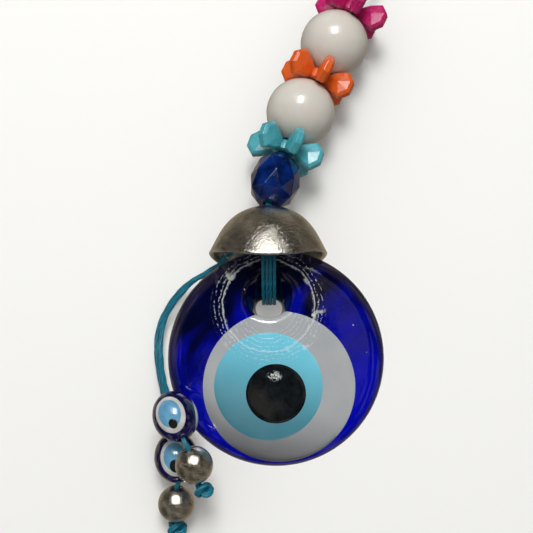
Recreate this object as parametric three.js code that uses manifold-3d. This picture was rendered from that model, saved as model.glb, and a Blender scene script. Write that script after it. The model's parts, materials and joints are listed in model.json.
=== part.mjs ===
// Evil eye ornament: a glass eye on a corded strand of beads, lying on a table.
// Millimetres, +Z up from the table. The origin is the centre of the glass eye's flat back,
// +Y runs from the eye towards the hanging loop and +X to the right as the eye is looked at.
import * as THREE from "three";
import { mergeVertices } from "three/addons/utils/BufferGeometryUtils.js";
import { ConvexGeometry } from "three/addons/geometries/ConvexGeometry.js";
import Module from "manifold-3d";

const wasm = await Module();
wasm.setup();
const deg = THREE.MathUtils.degToRad;

// Fits
const GAP = 0.3; // between pieces that touch or are fused
const BORE_PLAY = 0.5; // round a cord in a bead's bore
const WIDE_PLAY = 0.75; // round the cord in the wider bores of the flowers and balls

// Glass eye
const EYE_RADIUS = 24;
const EYE_THICKNESS = 8.4; // at its middle
const EDGE_ROUND = 4.2; // how far in the rounded edge starts
const EDGE_HEIGHT = 3.4; // of the widest line over the flat back
const SHOULDER_HEIGHT = 7.2; // where the rounded edge meets the domed front
const EYE_TILT = deg(12.6); // the top of the eye is propped up inside the cap
const HOLE_MOUTH_RADIUS = 5.1;
const HOLE_WAIST_RADIUS = 2.95;
const HOLE_BACK_RADIUS = 3.4;
const HOLE_FROM_TOP = 9.8; // centre of the mouth below the top of the glass
const HOLE_SIDE = -1.5;
const HOLE_LEAN = deg(30); // the hole slants down towards the back

// Layers of the eye, each set into the one before it: radius, centre and depth
const WHITE = { name: "eye_white", radius: 16.3, x: 0.7, y: -5.8, depth: 2.4 };
const BLUE = { name: "eye_light_blue", radius: 11.8, x: -1.7, y: -5.3, depth: 1.6 };
const PUPIL = { name: "eye_pupil", radius: 6.5, x: 0, y: -6.7, depth: 0.8 };

// Bead cap: a dome with its rim cut to a saddle, long at front and back
const CAP_RADIUS = 13.1;
const CAP_HEIGHT = 10.7;
const CAP_WALL = 0.7;
const CAP_LIP_DROP = 2.8;
const CAP_SIDE = -1.65;

// Cords
const STRAND_CORD = 1.6; // the bundle that runs through the beads
const LOOP_CORD = 1.2; // each of the two loops through the hole of the eye
const LOOP_SPACING = 1.6;
const TAIL_CORD = 1.2;
const KNOT_SIZE = 4.8; // across a knot
const TAIL_KNOT_SIZE = 3.8;
const CAP_KNOT_DEPTH = 4.9; // centre of the knot below the top of the cap

// Beads
const BALL_RADIUS = 8;
const FACETED_RADIUS = 5.8;
const FACETED_LENGTH = 12.6;
const FLOWER_RADIUS = 9;
const HUB_LENGTH = 2.6;
const HUB_RADIUS = 3.1;
const PETALS = 6;
const PETAL_THICKNESS = 3;
const PETAL_WIDTH = 6.8; // along the cord
const LOOSE_GAP = 0.8; // on each side of the lowest flower, where the strand is slack
const FACETED_END = 2.7; // radius of the faceted bead's ends
const SMALL_BEAD_RADIUS = 4.8;
const SMALL_BEAD_LENGTH = 11.2;
const SMALL_EYES = 3;
const SMALL_EYE_STRETCH = 1.4; // its length along the bead to its width
const SILVER_RADIUS = 4;

// Lay of the strand: heading of each stretch, turned from +Y towards +X, and heights over the table
const HEADING = {
  faceted: deg(13),
  turquoise: deg(16.5),
  lowerBall: deg(21),
  upperBall: deg(25.2),
  end: deg(26),
};
const BEADS_HEIGHT = FLOWER_RADIUS + 0.1;
const FLOWER_TURN = { turquoise: deg(20), orange: deg(15), magenta: deg(15) };
const HANGING_LOOP_WIDTH = 9;
const HANGING_LOOP_LENGTH = 27;

const COLOURS = {
  cobalt: { color: 0x0a1a8c, roughness: 0.06, metalness: 0 },
  white: { color: 0xdfe2e0, roughness: 0.2, metalness: 0 },
  paleBlue: { color: 0x7cc4d6, roughness: 0.15, metalness: 0 },
  black: { color: 0x0b0d12, roughness: 0.15, metalness: 0 },
  steel: { color: 0xb8b8b4, roughness: 0.15, metalness: 1 },
  teal: { color: 0x1a8ea6, roughness: 0.5, metalness: 0 },
  acrylicBlue: { color: 0x0c2a78, roughness: 0.08, metalness: 0 },
  turquoise: { color: 0x49bfc9, roughness: 0.3, metalness: 0 },
  orange: { color: 0xf0641e, roughness: 0.3, metalness: 0 },
  magenta: { color: 0xc8186e, roughness: 0.3, metalness: 0 },
  ivory: { color: 0xe2ddd4, roughness: 0.35, metalness: 0 },
};
const materials = Object.fromEntries(
  Object.entries(COLOURS).map(([name, values]) => [name, new THREE.MeshStandardMaterial(values)]),
);

// Worked-out places, in the object's frame
const backFlat = EYE_RADIUS - EDGE_ROUND;
const tableZ = -(backFlat + 0.3) * Math.sin(EYE_TILT);
const capAxisZ = tableZ + CAP_RADIUS;
const capInner = CAP_RADIUS - CAP_WALL;
const seatHalfChord = capInner - 0.1 - GAP - Math.abs(CAP_SIDE);
const capRimY = Math.sqrt(EYE_RADIUS ** 2 - seatHalfChord ** 2);
const beadsZ = tableZ + BEADS_HEIGHT;
const strandBore = STRAND_CORD / 2 + BORE_PLAY;
const wideBore = STRAND_CORD / 2 + WIDE_PLAY;
const tailBore = TAIL_CORD / 2 + BORE_PLAY;
const capTop = new THREE.Vector3(CAP_SIDE, capRimY + CAP_HEIGHT, capAxisZ);
const capKnot = new THREE.Vector3(CAP_SIDE, capTop.y - CAP_KNOT_DEPTH, capAxisZ);

// ---- Shape helpers ----

// A closed geometry as a solid that can be cut and joined.
function solid(geometry) {
  const bare = geometry.index ? geometry.toNonIndexed() : geometry.clone();
  bare.deleteAttribute("normal");
  bare.deleteAttribute("uv");
  const merged = mergeVertices(bare, 1e-4);
  const { array } = merged.attributes.position;
  return new wasm.Manifold(
    new wasm.Mesh({ numProp: 3, vertProperties: array, triVerts: new Uint32Array(merged.index.array) }),
  );
}

function geometryOf(made) {
  const { numProp, vertProperties, triVerts } = made.getMesh();
  const geometry = new THREE.BufferGeometry();
  geometry.setAttribute("position", new THREE.BufferAttribute(vertProperties, numProp));
  geometry.setIndex(new THREE.BufferAttribute(triVerts, 1));
  return geometry;
}

function piece(name, shape, material) {
  const geometry = shape.isBufferGeometry ? shape : geometryOf(shape);
  const mesh = new THREE.Mesh(geometry, material);
  mesh.name = name;
  return mesh;
}

// Points of an elliptical arc, from angle a to angle b in degrees.
function arc(cx, cy, rx, ry, a, b, steps) {
  return Array.from({ length: steps + 1 }, (_, i) => {
    const t = deg(a + ((b - a) * i) / steps);
    return [cx + rx * Math.cos(t), cy + ry * Math.sin(t)];
  });
}

// A turned shape about Y. The profile runs upwards on its outside.
function turned(profile, segments) {
  return new THREE.LatheGeometry(profile.map(([r, y]) => new THREE.Vector2(Math.max(r, 0), y)), segments);
}

// The same about Z.
const turnedZ = (profile, segments) => turned(profile, segments).rotateX(Math.PI / 2);

function rod(radius, length, segments) {
  return new THREE.CylinderGeometry(radius, radius, length, segments);
}

const bored = (shape, radius, length) => solid(shape).subtract(solid(rod(radius, length, 16)));

// A round cord along hand-chosen points.
function cord(points, diameter, steps) {
  const path = new THREE.CatmullRomCurve3(points, false, "centripetal");
  const round = arc(0, 0, diameter / 2, diameter / 2, 0, 315, 7);
  const section = new THREE.Shape(round.map(([x, y]) => new THREE.Vector2(x, y)));
  return new THREE.ExtrudeGeometry(section, { steps, extrudePath: path });
}

// An overhand knot pulled small.
function knot(name, centre, turn, size = KNOT_SIZE) {
  const tube = size * 0.1;
  const ring = (size / 2 - tube) / 1.5;
  const bare = new THREE.TorusKnotGeometry(ring, tube, 28, 6, 2, 3);
  const mesh = piece(name, geometryOf(solid(bare)), materials.teal);
  mesh.position.copy(centre);
  mesh.rotation.set(...turn);
  return mesh;
}

// Threads a bead, made about its own Y axis, on a cord: centre, direction, turn about the cord.
function thread(mesh, centre, direction, turn = 0) {
  const across = new THREE.Vector3(0, 0, 1);
  const side = new THREE.Vector3().crossVectors(direction, across).normalize();
  const up = new THREE.Vector3().crossVectors(side, direction);
  mesh.matrix.makeBasis(side, direction, up);
  mesh.quaternion.setFromRotationMatrix(mesh.matrix);
  mesh.rotateY(turn);
  mesh.position.copy(centre);
  return mesh;
}

// ---- Glass eye, built flat with its back on z = 0 ----

const frontZ = (r) => EYE_THICKNESS - (EYE_THICKNESS - SHOULDER_HEIGHT) * (r / backFlat) ** 2;

function glassBlank() {
  const back = [[0, 0], ...arc(backFlat, EDGE_HEIGHT, EDGE_ROUND, EDGE_HEIGHT, -90, 0, 4)];
  const front = arc(backFlat, EDGE_HEIGHT, EDGE_ROUND, SHOULDER_HEIGHT - EDGE_HEIGHT, 0, 90, 4).slice(1);
  const dome = [0.66, 0.33, 0].map((share) => [share * backFlat, frontZ(share * backFlat)]);
  return solid(turnedZ([...back, ...front, ...dome], 48));
}

const holeMouthY = EYE_RADIUS - HOLE_FROM_TOP;
const holeTopZ = frontZ(holeMouthY);
const holeY = (z) => holeMouthY - (holeTopZ - z) * Math.tan(HOLE_LEAN);

function holeCutter() {
  const spill = 2;
  const waistZ = 0.38 * holeTopZ;
  const profile = [
    [0, -spill],
    [HOLE_BACK_RADIUS + 0.6, -spill],
    [HOLE_BACK_RADIUS, 0],
    [HOLE_WAIST_RADIUS, waistZ - 1],
    [HOLE_WAIST_RADIUS, waistZ + 0.6],
    [HOLE_WAIST_RADIUS + 0.45 * (HOLE_MOUTH_RADIUS - HOLE_WAIST_RADIUS), 0.75 * holeTopZ],
    [HOLE_MOUTH_RADIUS, holeTopZ],
    [HOLE_MOUTH_RADIUS + 1, holeTopZ + spill],
    [0, holeTopZ + spill],
  ];
  const shape = turnedZ(profile, 24);
  const at = shape.attributes.position;
  for (let i = 0; i < at.count; i++) {
    const z = Math.min(at.getZ(i), holeTopZ);
    at.setXYZ(i, at.getX(i) + HOLE_SIDE, at.getY(i) + holeY(z), at.getZ(i));
  }
  return solid(shape);
}

// Sets stacked layers into a body. lowered(depth) is the body with its skin moved in by depth,
// and column(layer, extra) stands through the body at a layer's place.
function setLayers(body, layers, lowered, column) {
  const pieces = layers.map((layer) => body.intersect(column(layer, 0)).subtract(lowered(layer.depth)));
  const pocket = (layer) => column(layer, GAP).subtract(lowered(layer.depth + GAP));
  return [body, ...pieces].map((made, i) => (i < layers.length ? made.subtract(pocket(layers[i])) : made));
}

const eye = new THREE.Group();
eye.rotation.x = EYE_TILT;
{
  const blank = glassBlank();
  const layers = [WHITE, BLUE, PUPIL];
  const column = (layer, extra) => {
    const tall = 4 * EYE_THICKNESS;
    return solid(rod(layer.radius + extra, tall, 36).rotateX(Math.PI / 2).translate(layer.x, layer.y, 0));
  };
  const [glass, ...inlays] = setLayers(blank, layers, (depth) => blank.translate([0, 0, -depth]), column);
  const hole = holeCutter();
  const round = rod(HOLE_MOUTH_RADIUS + GAP, 4 * EYE_THICKNESS, 24).rotateX(Math.PI / 2);
  const white = inlays[0].subtract(solid(round.translate(HOLE_SIDE, holeMouthY, 0)));
  eye.add(piece("glass_eye", glass.subtract(hole), materials.cobalt));
  eye.add(piece(WHITE.name, white, materials.white));
  eye.add(piece(BLUE.name, inlays[1], materials.paleBlue));
  eye.add(piece(PUPIL.name, inlays[2], materials.black));
}

// The two loops of cord that carry the eye: from the knot in the cap, over the top of the front,
// through the hole and up the back.
const knotInEye = capKnot.clone().applyAxisAngle(new THREE.Vector3(1, 0, 0), -EYE_TILT);
const clearOfKnot = KNOT_SIZE / 2 + LOOP_CORD / 2 + GAP;
const faceGap = LOOP_CORD / 2 + GAP + 0.2;
for (const [name, side] of [["eye_loop_left", -1], ["eye_loop_right", 1]]) {
  const x = HOLE_SIDE + (side * LOOP_SPACING) / 2;
  const mouthTop = holeMouthY + HOLE_MOUTH_RADIUS;
  const points = [
    [knotInEye.y - 0.6 * clearOfKnot, knotInEye.z + 0.8 * clearOfKnot],
    [EYE_RADIUS + 0.4, SHOULDER_HEIGHT + 0.2],
    [EYE_RADIUS - 2, SHOULDER_HEIGHT + faceGap + 0.5],
    [mouthTop, frontZ(mouthTop) + faceGap],
    [mouthTop - 2.2, holeTopZ - 0.1],
    [holeY(5.4) + 1.9, 5.4],
    [holeY(3) + 1.5, 3],
    [holeY(0.5) + 1.9, 0.5],
    [holeY(0) + 3.1, -faceGap - 0.5],
    [holeY(0) + 6.4, -faceGap - 0.4],
    [EYE_RADIUS - 4, -faceGap - 0.2],
    [EYE_RADIUS, -faceGap + 0.3],
    [knotInEye.y - 0.7 * clearOfKnot, knotInEye.z - 0.75 * clearOfKnot],
  ].map(([y, z]) => new THREE.Vector3(x, y, z));
  eye.add(piece(name, cord(points, LOOP_CORD, 26), materials.teal));
}

// ---- Bead cap: dome about Y, rim at y = 0 ----

function capShell() {
  // Radius and height of the outside as shares: a flared skirt under a flat crown.
  const outline = [
    [1, 0], [0.955, 0.12], [0.895, 0.27], [0.8, 0.48], [0.69, 0.66], [0.55, 0.81], [0.38, 0.92],
  ];
  const outside = outline.map(([r, y]) => [r * CAP_RADIUS, y * CAP_HEIGHT]);
  outside.push([strandBore + 1, CAP_HEIGHT]);
  const shrink = capInner / CAP_RADIUS;
  const inside = outside.map(([r, y]) => [Math.max(r * shrink, strandBore), Math.max(y - CAP_WALL, 0)]);
  const profile = [...outside, [strandBore, CAP_HEIGHT], ...inside.reverse(), outside[0]];
  const shape = turned(profile, 36);
  const at = shape.attributes.position;
  for (let i = 0; i < at.count; i++) {
    const [x, y, z] = [at.getX(i), at.getY(i), at.getZ(i)];
    const share = Math.max(0, 1 - y / CAP_HEIGHT);
    at.setY(i, y - CAP_LIP_DROP * share ** 2 * (z * z) / (x * x + z * z));
  }
  return solid(shape);
}

const cap = piece("bead_cap", capShell(), materials.steel);
cap.position.set(CAP_SIDE, capRimY, capAxisZ);

// ---- Strand: places of the beads along the cord ----

function step(from, heading, length, toZ) {
  const drop = toZ - from.z;
  const level = Math.sqrt(length ** 2 - drop ** 2);
  return from.clone().add(new THREE.Vector3(level * Math.sin(heading), level * Math.cos(heading), drop));
}

const hubSeat = HUB_LENGTH / 2;
// The faceted bead leans over the top of the cap, so its end is held off by what it leans.
const capLean = Math.hypot(HEADING.faceted, (capAxisZ - beadsZ) / FACETED_LENGTH);
const toFaceted = FACETED_LENGTH / 2 + FACETED_END * Math.sin(capLean) + GAP / 3;
const toTurquoise = FACETED_LENGTH / 2 + LOOSE_GAP + hubSeat;
const toLowerBall = hubSeat + LOOSE_GAP + BALL_RADIUS;
const ballToHub = BALL_RADIUS + GAP + hubSeat;
const slackLength = toFaceted + toTurquoise + toLowerBall;
const heightAt = (run) => beadsZ + (capAxisZ - beadsZ) * (1 - run / slackLength) ** 2;

const facetedAt = step(capTop, HEADING.faceted, toFaceted, heightAt(toFaceted));
const turquoiseAt = step(facetedAt, HEADING.turquoise, toTurquoise, heightAt(toFaceted + toTurquoise));
const lowerBallAt = step(turquoiseAt, HEADING.lowerBall, toLowerBall, beadsZ);
const orangeAt = step(lowerBallAt, HEADING.upperBall, ballToHub, beadsZ);
const upperBallAt = step(orangeAt, HEADING.upperBall, ballToHub, beadsZ);
const magentaAt = step(upperBallAt, HEADING.end, ballToHub, beadsZ);
const endKnotAt = step(magentaAt, HEADING.end, hubSeat + GAP + KNOT_SIZE / 2, beadsZ);

const along = (a, b) => b.clone().sub(a).normalize();
const onLine = (from, way, distance) => from.clone().addScaledVector(way, distance);
// The cord runs straight through a bead and bends between beads.
const through = (centre, way, halfLength) =>
  [-1, -0.4, 0.4, 1].map((share) => onLine(centre, way, share * halfLength));
const facetedWay = along(capTop, turquoiseAt);
const turquoiseWay = along(facetedAt, lowerBallAt);
const lowerWay = along(turquoiseAt, orangeAt);
const upperWay = along(orangeAt, magentaAt);
const endWay = along(upperBallAt, magentaAt);
const strandStart = capKnot.clone().add(new THREE.Vector3(0, KNOT_SIZE / 2 + GAP, 0));
const meet = GAP / 2 + 0.05; // two cords meet end to end in the middle of a ball
const mouth = BALL_RADIUS - 0.2; // of a ball's bore, where the cord bends

const strand = new THREE.Group();
const stretches = {
  lower: [
    strandStart,
    capTop,
    ...through(facetedAt, facetedWay, FACETED_LENGTH / 2),
    turquoiseAt,
    onLine(lowerBallAt, lowerWay, -mouth),
    onLine(lowerBallAt, lowerWay, -meet),
  ],
  middle: [
    onLine(lowerBallAt, lowerWay, meet),
    onLine(lowerBallAt, lowerWay, mouth),
    orangeAt,
    onLine(upperBallAt, upperWay, -mouth),
    onLine(upperBallAt, upperWay, -meet),
  ],
  upper: [
    onLine(upperBallAt, upperWay, meet),
    onLine(upperBallAt, upperWay, mouth),
    magentaAt,
    onLine(endKnotAt, endWay, -KNOT_SIZE / 2),
  ],
};
for (const [name, points] of Object.entries(stretches)) {
  const steps = 2 * points.length + 2;
  strand.add(piece("strand_cord_" + name, cord(points, STRAND_CORD, steps), materials.teal));
}

// ---- Beads ----

function ballBead(radius, bore, segments, rings) {
  const lip = THREE.MathUtils.radToDeg(Math.acos(bore / radius));
  const outside = arc(0, 0, radius, radius, -lip, lip, rings);
  return turned([...outside, outside[0]], segments);
}

function facetedBead() {
  const rings = [[0, 1, 0], [0.62, 0.86, 0.5], [1, FACETED_END / FACETED_RADIUS, 0]];
  const points = [];
  for (const [height, width, turn] of rings) {
    for (const sign of height ? [-1, 1] : [1]) {
      for (let k = 0; k < 8; k++) {
        const a = ((k + turn) * Math.PI) / 4;
        const r = width * FACETED_RADIUS;
        const y = (sign * height * FACETED_LENGTH) / 2;
        points.push(new THREE.Vector3(r * Math.cos(a), y, r * Math.sin(a)));
      }
    }
  }
  return bored(new ConvexGeometry(points), strandBore, 2 * FACETED_LENGTH);
}

// One petal: an eight-sided plate standing along the cord, cut like a stone on both faces and
// narrowed towards the hub so that it clears the balls on each side.
function petal() {
  const middle = FLOWER_RADIUS - PETAL_WIDTH / 2;
  const half = PETAL_WIDTH / 2;
  const outline = [];
  for (let k = 0; k < 8; k++) {
    const a = ((k + 0.5) * Math.PI) / 4;
    const reach = half / Math.cos(Math.PI / 8);
    const narrowing = Math.cos(a) < 0 ? 0.72 : 1;
    outline.push([middle + reach * Math.cos(a), reach * Math.sin(a) * narrowing]);
  }
  const points = [];
  for (const sign of [-1, 1]) {
    for (const [r, a] of outline) {
      points.push(new THREE.Vector3(r, a, sign * PETAL_THICKNESS * 0.3));
      points.push(new THREE.Vector3(middle + (r - middle) * 0.8, a * 0.8, sign * PETAL_THICKNESS * 0.44));
    }
    points.push(new THREE.Vector3(middle, 0, (sign * PETAL_THICKNESS) / 2));
  }
  return solid(new ConvexGeometry(points));
}

function flowerBead() {
  let made = solid(rod(HUB_RADIUS, HUB_LENGTH, 18));
  const plate = petal();
  for (let k = 0; k < PETALS; k++) made = made.add(plate.rotate([0, (360 / PETALS) * k, 0]));
  return made.subtract(solid(rod(wideBore, 4 * HUB_LENGTH, 16)));
}

strand.add(thread(piece("faceted_bead", facetedBead(), materials.acrylicBlue), facetedAt, facetedWay));
const flower = flowerBead();
const ball = ballBead(BALL_RADIUS, wideBore, 24, 12);
const towardsViewer = -Math.PI / 2; // a petal that points up from the table
for (const [colour, centre, way] of [
  ["turquoise", turquoiseAt, turquoiseWay],
  ["orange", orangeAt, along(lowerBallAt, upperBallAt)],
  ["magenta", magentaAt, endWay],
]) {
  const bead = piece("flower_" + colour, flower, materials[colour]);
  strand.add(thread(bead, centre, way, towardsViewer + FLOWER_TURN[colour]));
}
strand.add(thread(piece("white_bead_lower", ball, materials.ivory), lowerBallAt, lowerWay));
strand.add(thread(piece("white_bead_upper", ball, materials.ivory), upperBallAt, upperWay));

// ---- Knots and the hanging loop ----

strand.add(knot("cap_knot", capKnot, [0, 0, 0]));
strand.add(knot("end_knot", endKnotAt, [Math.PI / 2, 0, 0]));
{
  const start = onLine(endKnotAt, endWay, KNOT_SIZE / 2 + GAP);
  const side = new THREE.Vector3(endWay.y, -endWay.x, 0);
  const lie = tableZ + TAIL_CORD / 2 + 0.1;
  const at = (forward, across, height) =>
    start.clone().addScaledVector(endWay, forward).addScaledVector(side, across).setZ(height);
  const long = HANGING_LOOP_LENGTH;
  const wide = HANGING_LOOP_WIDTH;
  const points = [
    at(0, 0.85, beadsZ),
    at(0.12 * long, 1.3, beadsZ - 2.2),
    at(0.32 * long, 0.3 * wide, lie + 1.6),
    at(0.55 * long, 0.45 * wide, lie),
    at(0.8 * long, 0.5 * wide, lie),
    at(0.95 * long, 0.33 * wide, lie),
    at(long, 0, lie),
    at(0.95 * long, -0.33 * wide, lie),
    at(0.8 * long, -0.5 * wide, lie),
    at(0.55 * long, -0.45 * wide, lie),
    at(0.32 * long, -0.3 * wide, lie + 1.6),
    at(0.12 * long, -1.3, beadsZ - 2.2),
    at(0, -0.85, beadsZ),
  ];
  strand.add(piece("hanging_loop", cord(points, TAIL_CORD, 30), materials.teal));
}

// ---- Tails: a small eye bead and a silver bead on each, stopped by a knot ----

// A point in the cap, as shares of its radius, height and radius from the middle of its rim.
const inCap = (x, y, z) =>
  new THREE.Vector3(CAP_SIDE + x * CAP_RADIUS, capRimY + y * CAP_HEIGHT, capAxisZ + z * CAP_RADIUS);
// A point beside the eye: the angle up from -X, how far out from the glass, the height over the table.
const besideEye = (angle, out, height) => {
  const reach = EYE_RADIUS + out;
  return new THREE.Vector3(-reach * Math.cos(angle), reach * Math.sin(angle), tableZ + height);
};
const angleOf = (point) => Math.atan2(point.y, -point.x);

// Each bow point is a share of the way round from the cap to the bead, then out and height.
const TAILS = {
  a: {
    root: [inCap(-0.225, 0.463, -0.053), inCap(-0.531, 0.304, -0.145), inCap(-0.729, 0.089, -0.237)],
    exit: [inCap(-0.76, 0.042, -0.252), inCap(-0.836, -0.117, -0.305)],
    bow: [
      [0.071, 0.2, 8.3], [0.179, 1.2, 6.9], [0.285, 1.9, 5.3], [0.367, 2.6, 4.1], [0.432, 2.9, 3.3],
      [0.5, 2.8, 2.9], [0.576, 2.5, 3.1], [0.652, 2, 4.4], [0.752, 1.5, 7.4],
    ],
    bead: besideEye(deg(-32.6), 1.5, 12.9),
    silverWay: new THREE.Vector3(0.385, -0.92, 0.059),
    slack: 1.4,
    knotWay: new THREE.Vector3(0.15, -0.7, -0.7),
    turn: deg(7),
  },
  b: {
    root: [inCap(-0.225, 0.388, -0.214), inCap(-0.515, 0.248, -0.298), inCap(-0.706, 0.061, -0.366)],
    exit: [inCap(-0.729, 0.014, -0.382), inCap(-0.79, -0.145, -0.427)],
    bow: [
      [0.067, -0.1, 6.5], [0.16, 1.9, 4.5], [0.254, 3.1, 2.8], [0.334, 3.7, 1.6], [0.395, 4, 1.1],
      [0.452, 4, 0.9], [0.517, 3.7, 0.9], [0.594, 3.3, 0.9], [0.695, 3, 1], [0.808, 3.4, 1.9],
    ],
    silverWay: new THREE.Vector3(0.03, -0.995, -0.07),
    slack: 0.35,
    knotWay: new THREE.Vector3(-0.12, -0.76, -0.64),
    turn: deg(-8),
  },
};
// The second bead lies against the first, below it and further on.
const nextBead = new THREE.Vector3(-0.12, -1.79, -1.53).multiplyScalar(SMALL_BEAD_RADIUS);
TAILS.b.bead = TAILS.a.bead.clone().add(nextBead);

const SMALL_LAYERS = [
  { part: "white", radius: 2.7, depth: 1.5 },
  { part: "blue", radius: 1.9, depth: 0.95 },
  { part: "pupil", radius: 0.95, depth: 0.45 },
];

// The bead's eyes look out square to its bore, a third of a turn apart.
function smallEyeBead(name) {
  const shape = (depth) =>
    solid(new THREE.SphereGeometry(SMALL_BEAD_RADIUS - depth, 18, 9)
      .scale(1, (SMALL_BEAD_LENGTH / 2 - depth) / (SMALL_BEAD_RADIUS - depth), 1).rotateY(0.07));
  const standing = (layer, extra) => {
    const long = 2 * SMALL_BEAD_RADIUS;
    const column = rod(layer.radius + extra, long, 12).scale(1, 1, SMALL_EYE_STRETCH).rotateX(Math.PI / 2);
    return solid(column.translate(0, 0, long / 2 + tailBore + 2 * GAP - extra));
  };
  const [, ...inlays] = setLayers(shape(0), SMALL_LAYERS, shape, standing);
  const pocket = standing(SMALL_LAYERS[0], GAP).subtract(shape(SMALL_LAYERS[0].depth + GAP));
  const colours = [materials.white, materials.paleBlue, materials.black];
  let glass = shape(0).subtract(solid(rod(tailBore, 2 * SMALL_BEAD_LENGTH, 10)));
  const dots = [];
  for (let k = 0; k < SMALL_EYES; k++) {
    const turn = [0, (360 * k) / SMALL_EYES, 0];
    glass = glass.subtract(pocket.rotate(turn));
    inlays.forEach((inlay, i) => {
      const dot = `${name}_eye_${k + 1}_${SMALL_LAYERS[i].part}`;
      dots.push(piece(dot, inlay.rotate(turn), colours[i]));
    });
  }
  return [piece(name, glass, materials.cobalt), ...dots];
}

const tails = new THREE.Group();
for (const [key, tail] of Object.entries(TAILS)) {
  const { bead } = tail;
  const [from, to] = [angleOf(tail.exit[1]), angleOf(bead)];
  const bow = tail.bow.map(([share, out, height]) => besideEye(from + share * (to - from), out, height));
  const silverReach = SMALL_BEAD_LENGTH / 2 + SILVER_RADIUS + tail.slack;
  const silver = onLine(bead, tail.silverWay, silverReach);
  const beadWay = along(bow.at(-1), silver);
  const silverWay = along(bead, onLine(silver, tail.knotWay, 2 * SILVER_RADIUS));
  const knotAt = onLine(silver, silverWay, SILVER_RADIUS + GAP + TAIL_KNOT_SIZE / 2);
  const lead = 0.2; // the cord starts to bend this far inside a bore
  const route = [
    ...tail.exit,
    ...bow,
    ...through(bead, beadWay, SMALL_BEAD_LENGTH / 2 - lead),
    ...through(silver, silverWay, SILVER_RADIUS - lead),
  ];
  tails.add(piece("tail_root_" + key, cord(tail.root, TAIL_CORD, 5), materials.teal));
  tails.add(piece("tail_cord_" + key, cord(route, TAIL_CORD, 34), materials.teal));
  const name = "small_eye_bead_" + key;
  smallEyeBead(name).forEach((mesh) => tails.add(thread(mesh, bead, beadWay, tail.turn)));
  const silverBead = ballBead(SILVER_RADIUS, tailBore, 18, 9);
  tails.add(thread(piece("silver_bead_" + key, silverBead, materials.steel), silver, silverWay));
  tails.add(knot("tail_knot_" + key, knotAt, [Math.PI / 2, 0, 0], TAIL_KNOT_SIZE));
}

const ornament = new THREE.Group();
ornament.add(eye, cap, strand, tails);
export default ornament;
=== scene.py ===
# %% [markdown]
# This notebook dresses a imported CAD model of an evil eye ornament: a cobalt glass eye, hung by
# loops of waxed cord inside a metal bead cap, under a strand of plastic beads, with two thin
# tails of small eye beads. The CAD model is the frame. It says where each piece sits and how it
# moves, so the first cell loads it and keeps its box, which the finished model has to stay in.

# %% Load the frame
import json
import math

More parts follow.
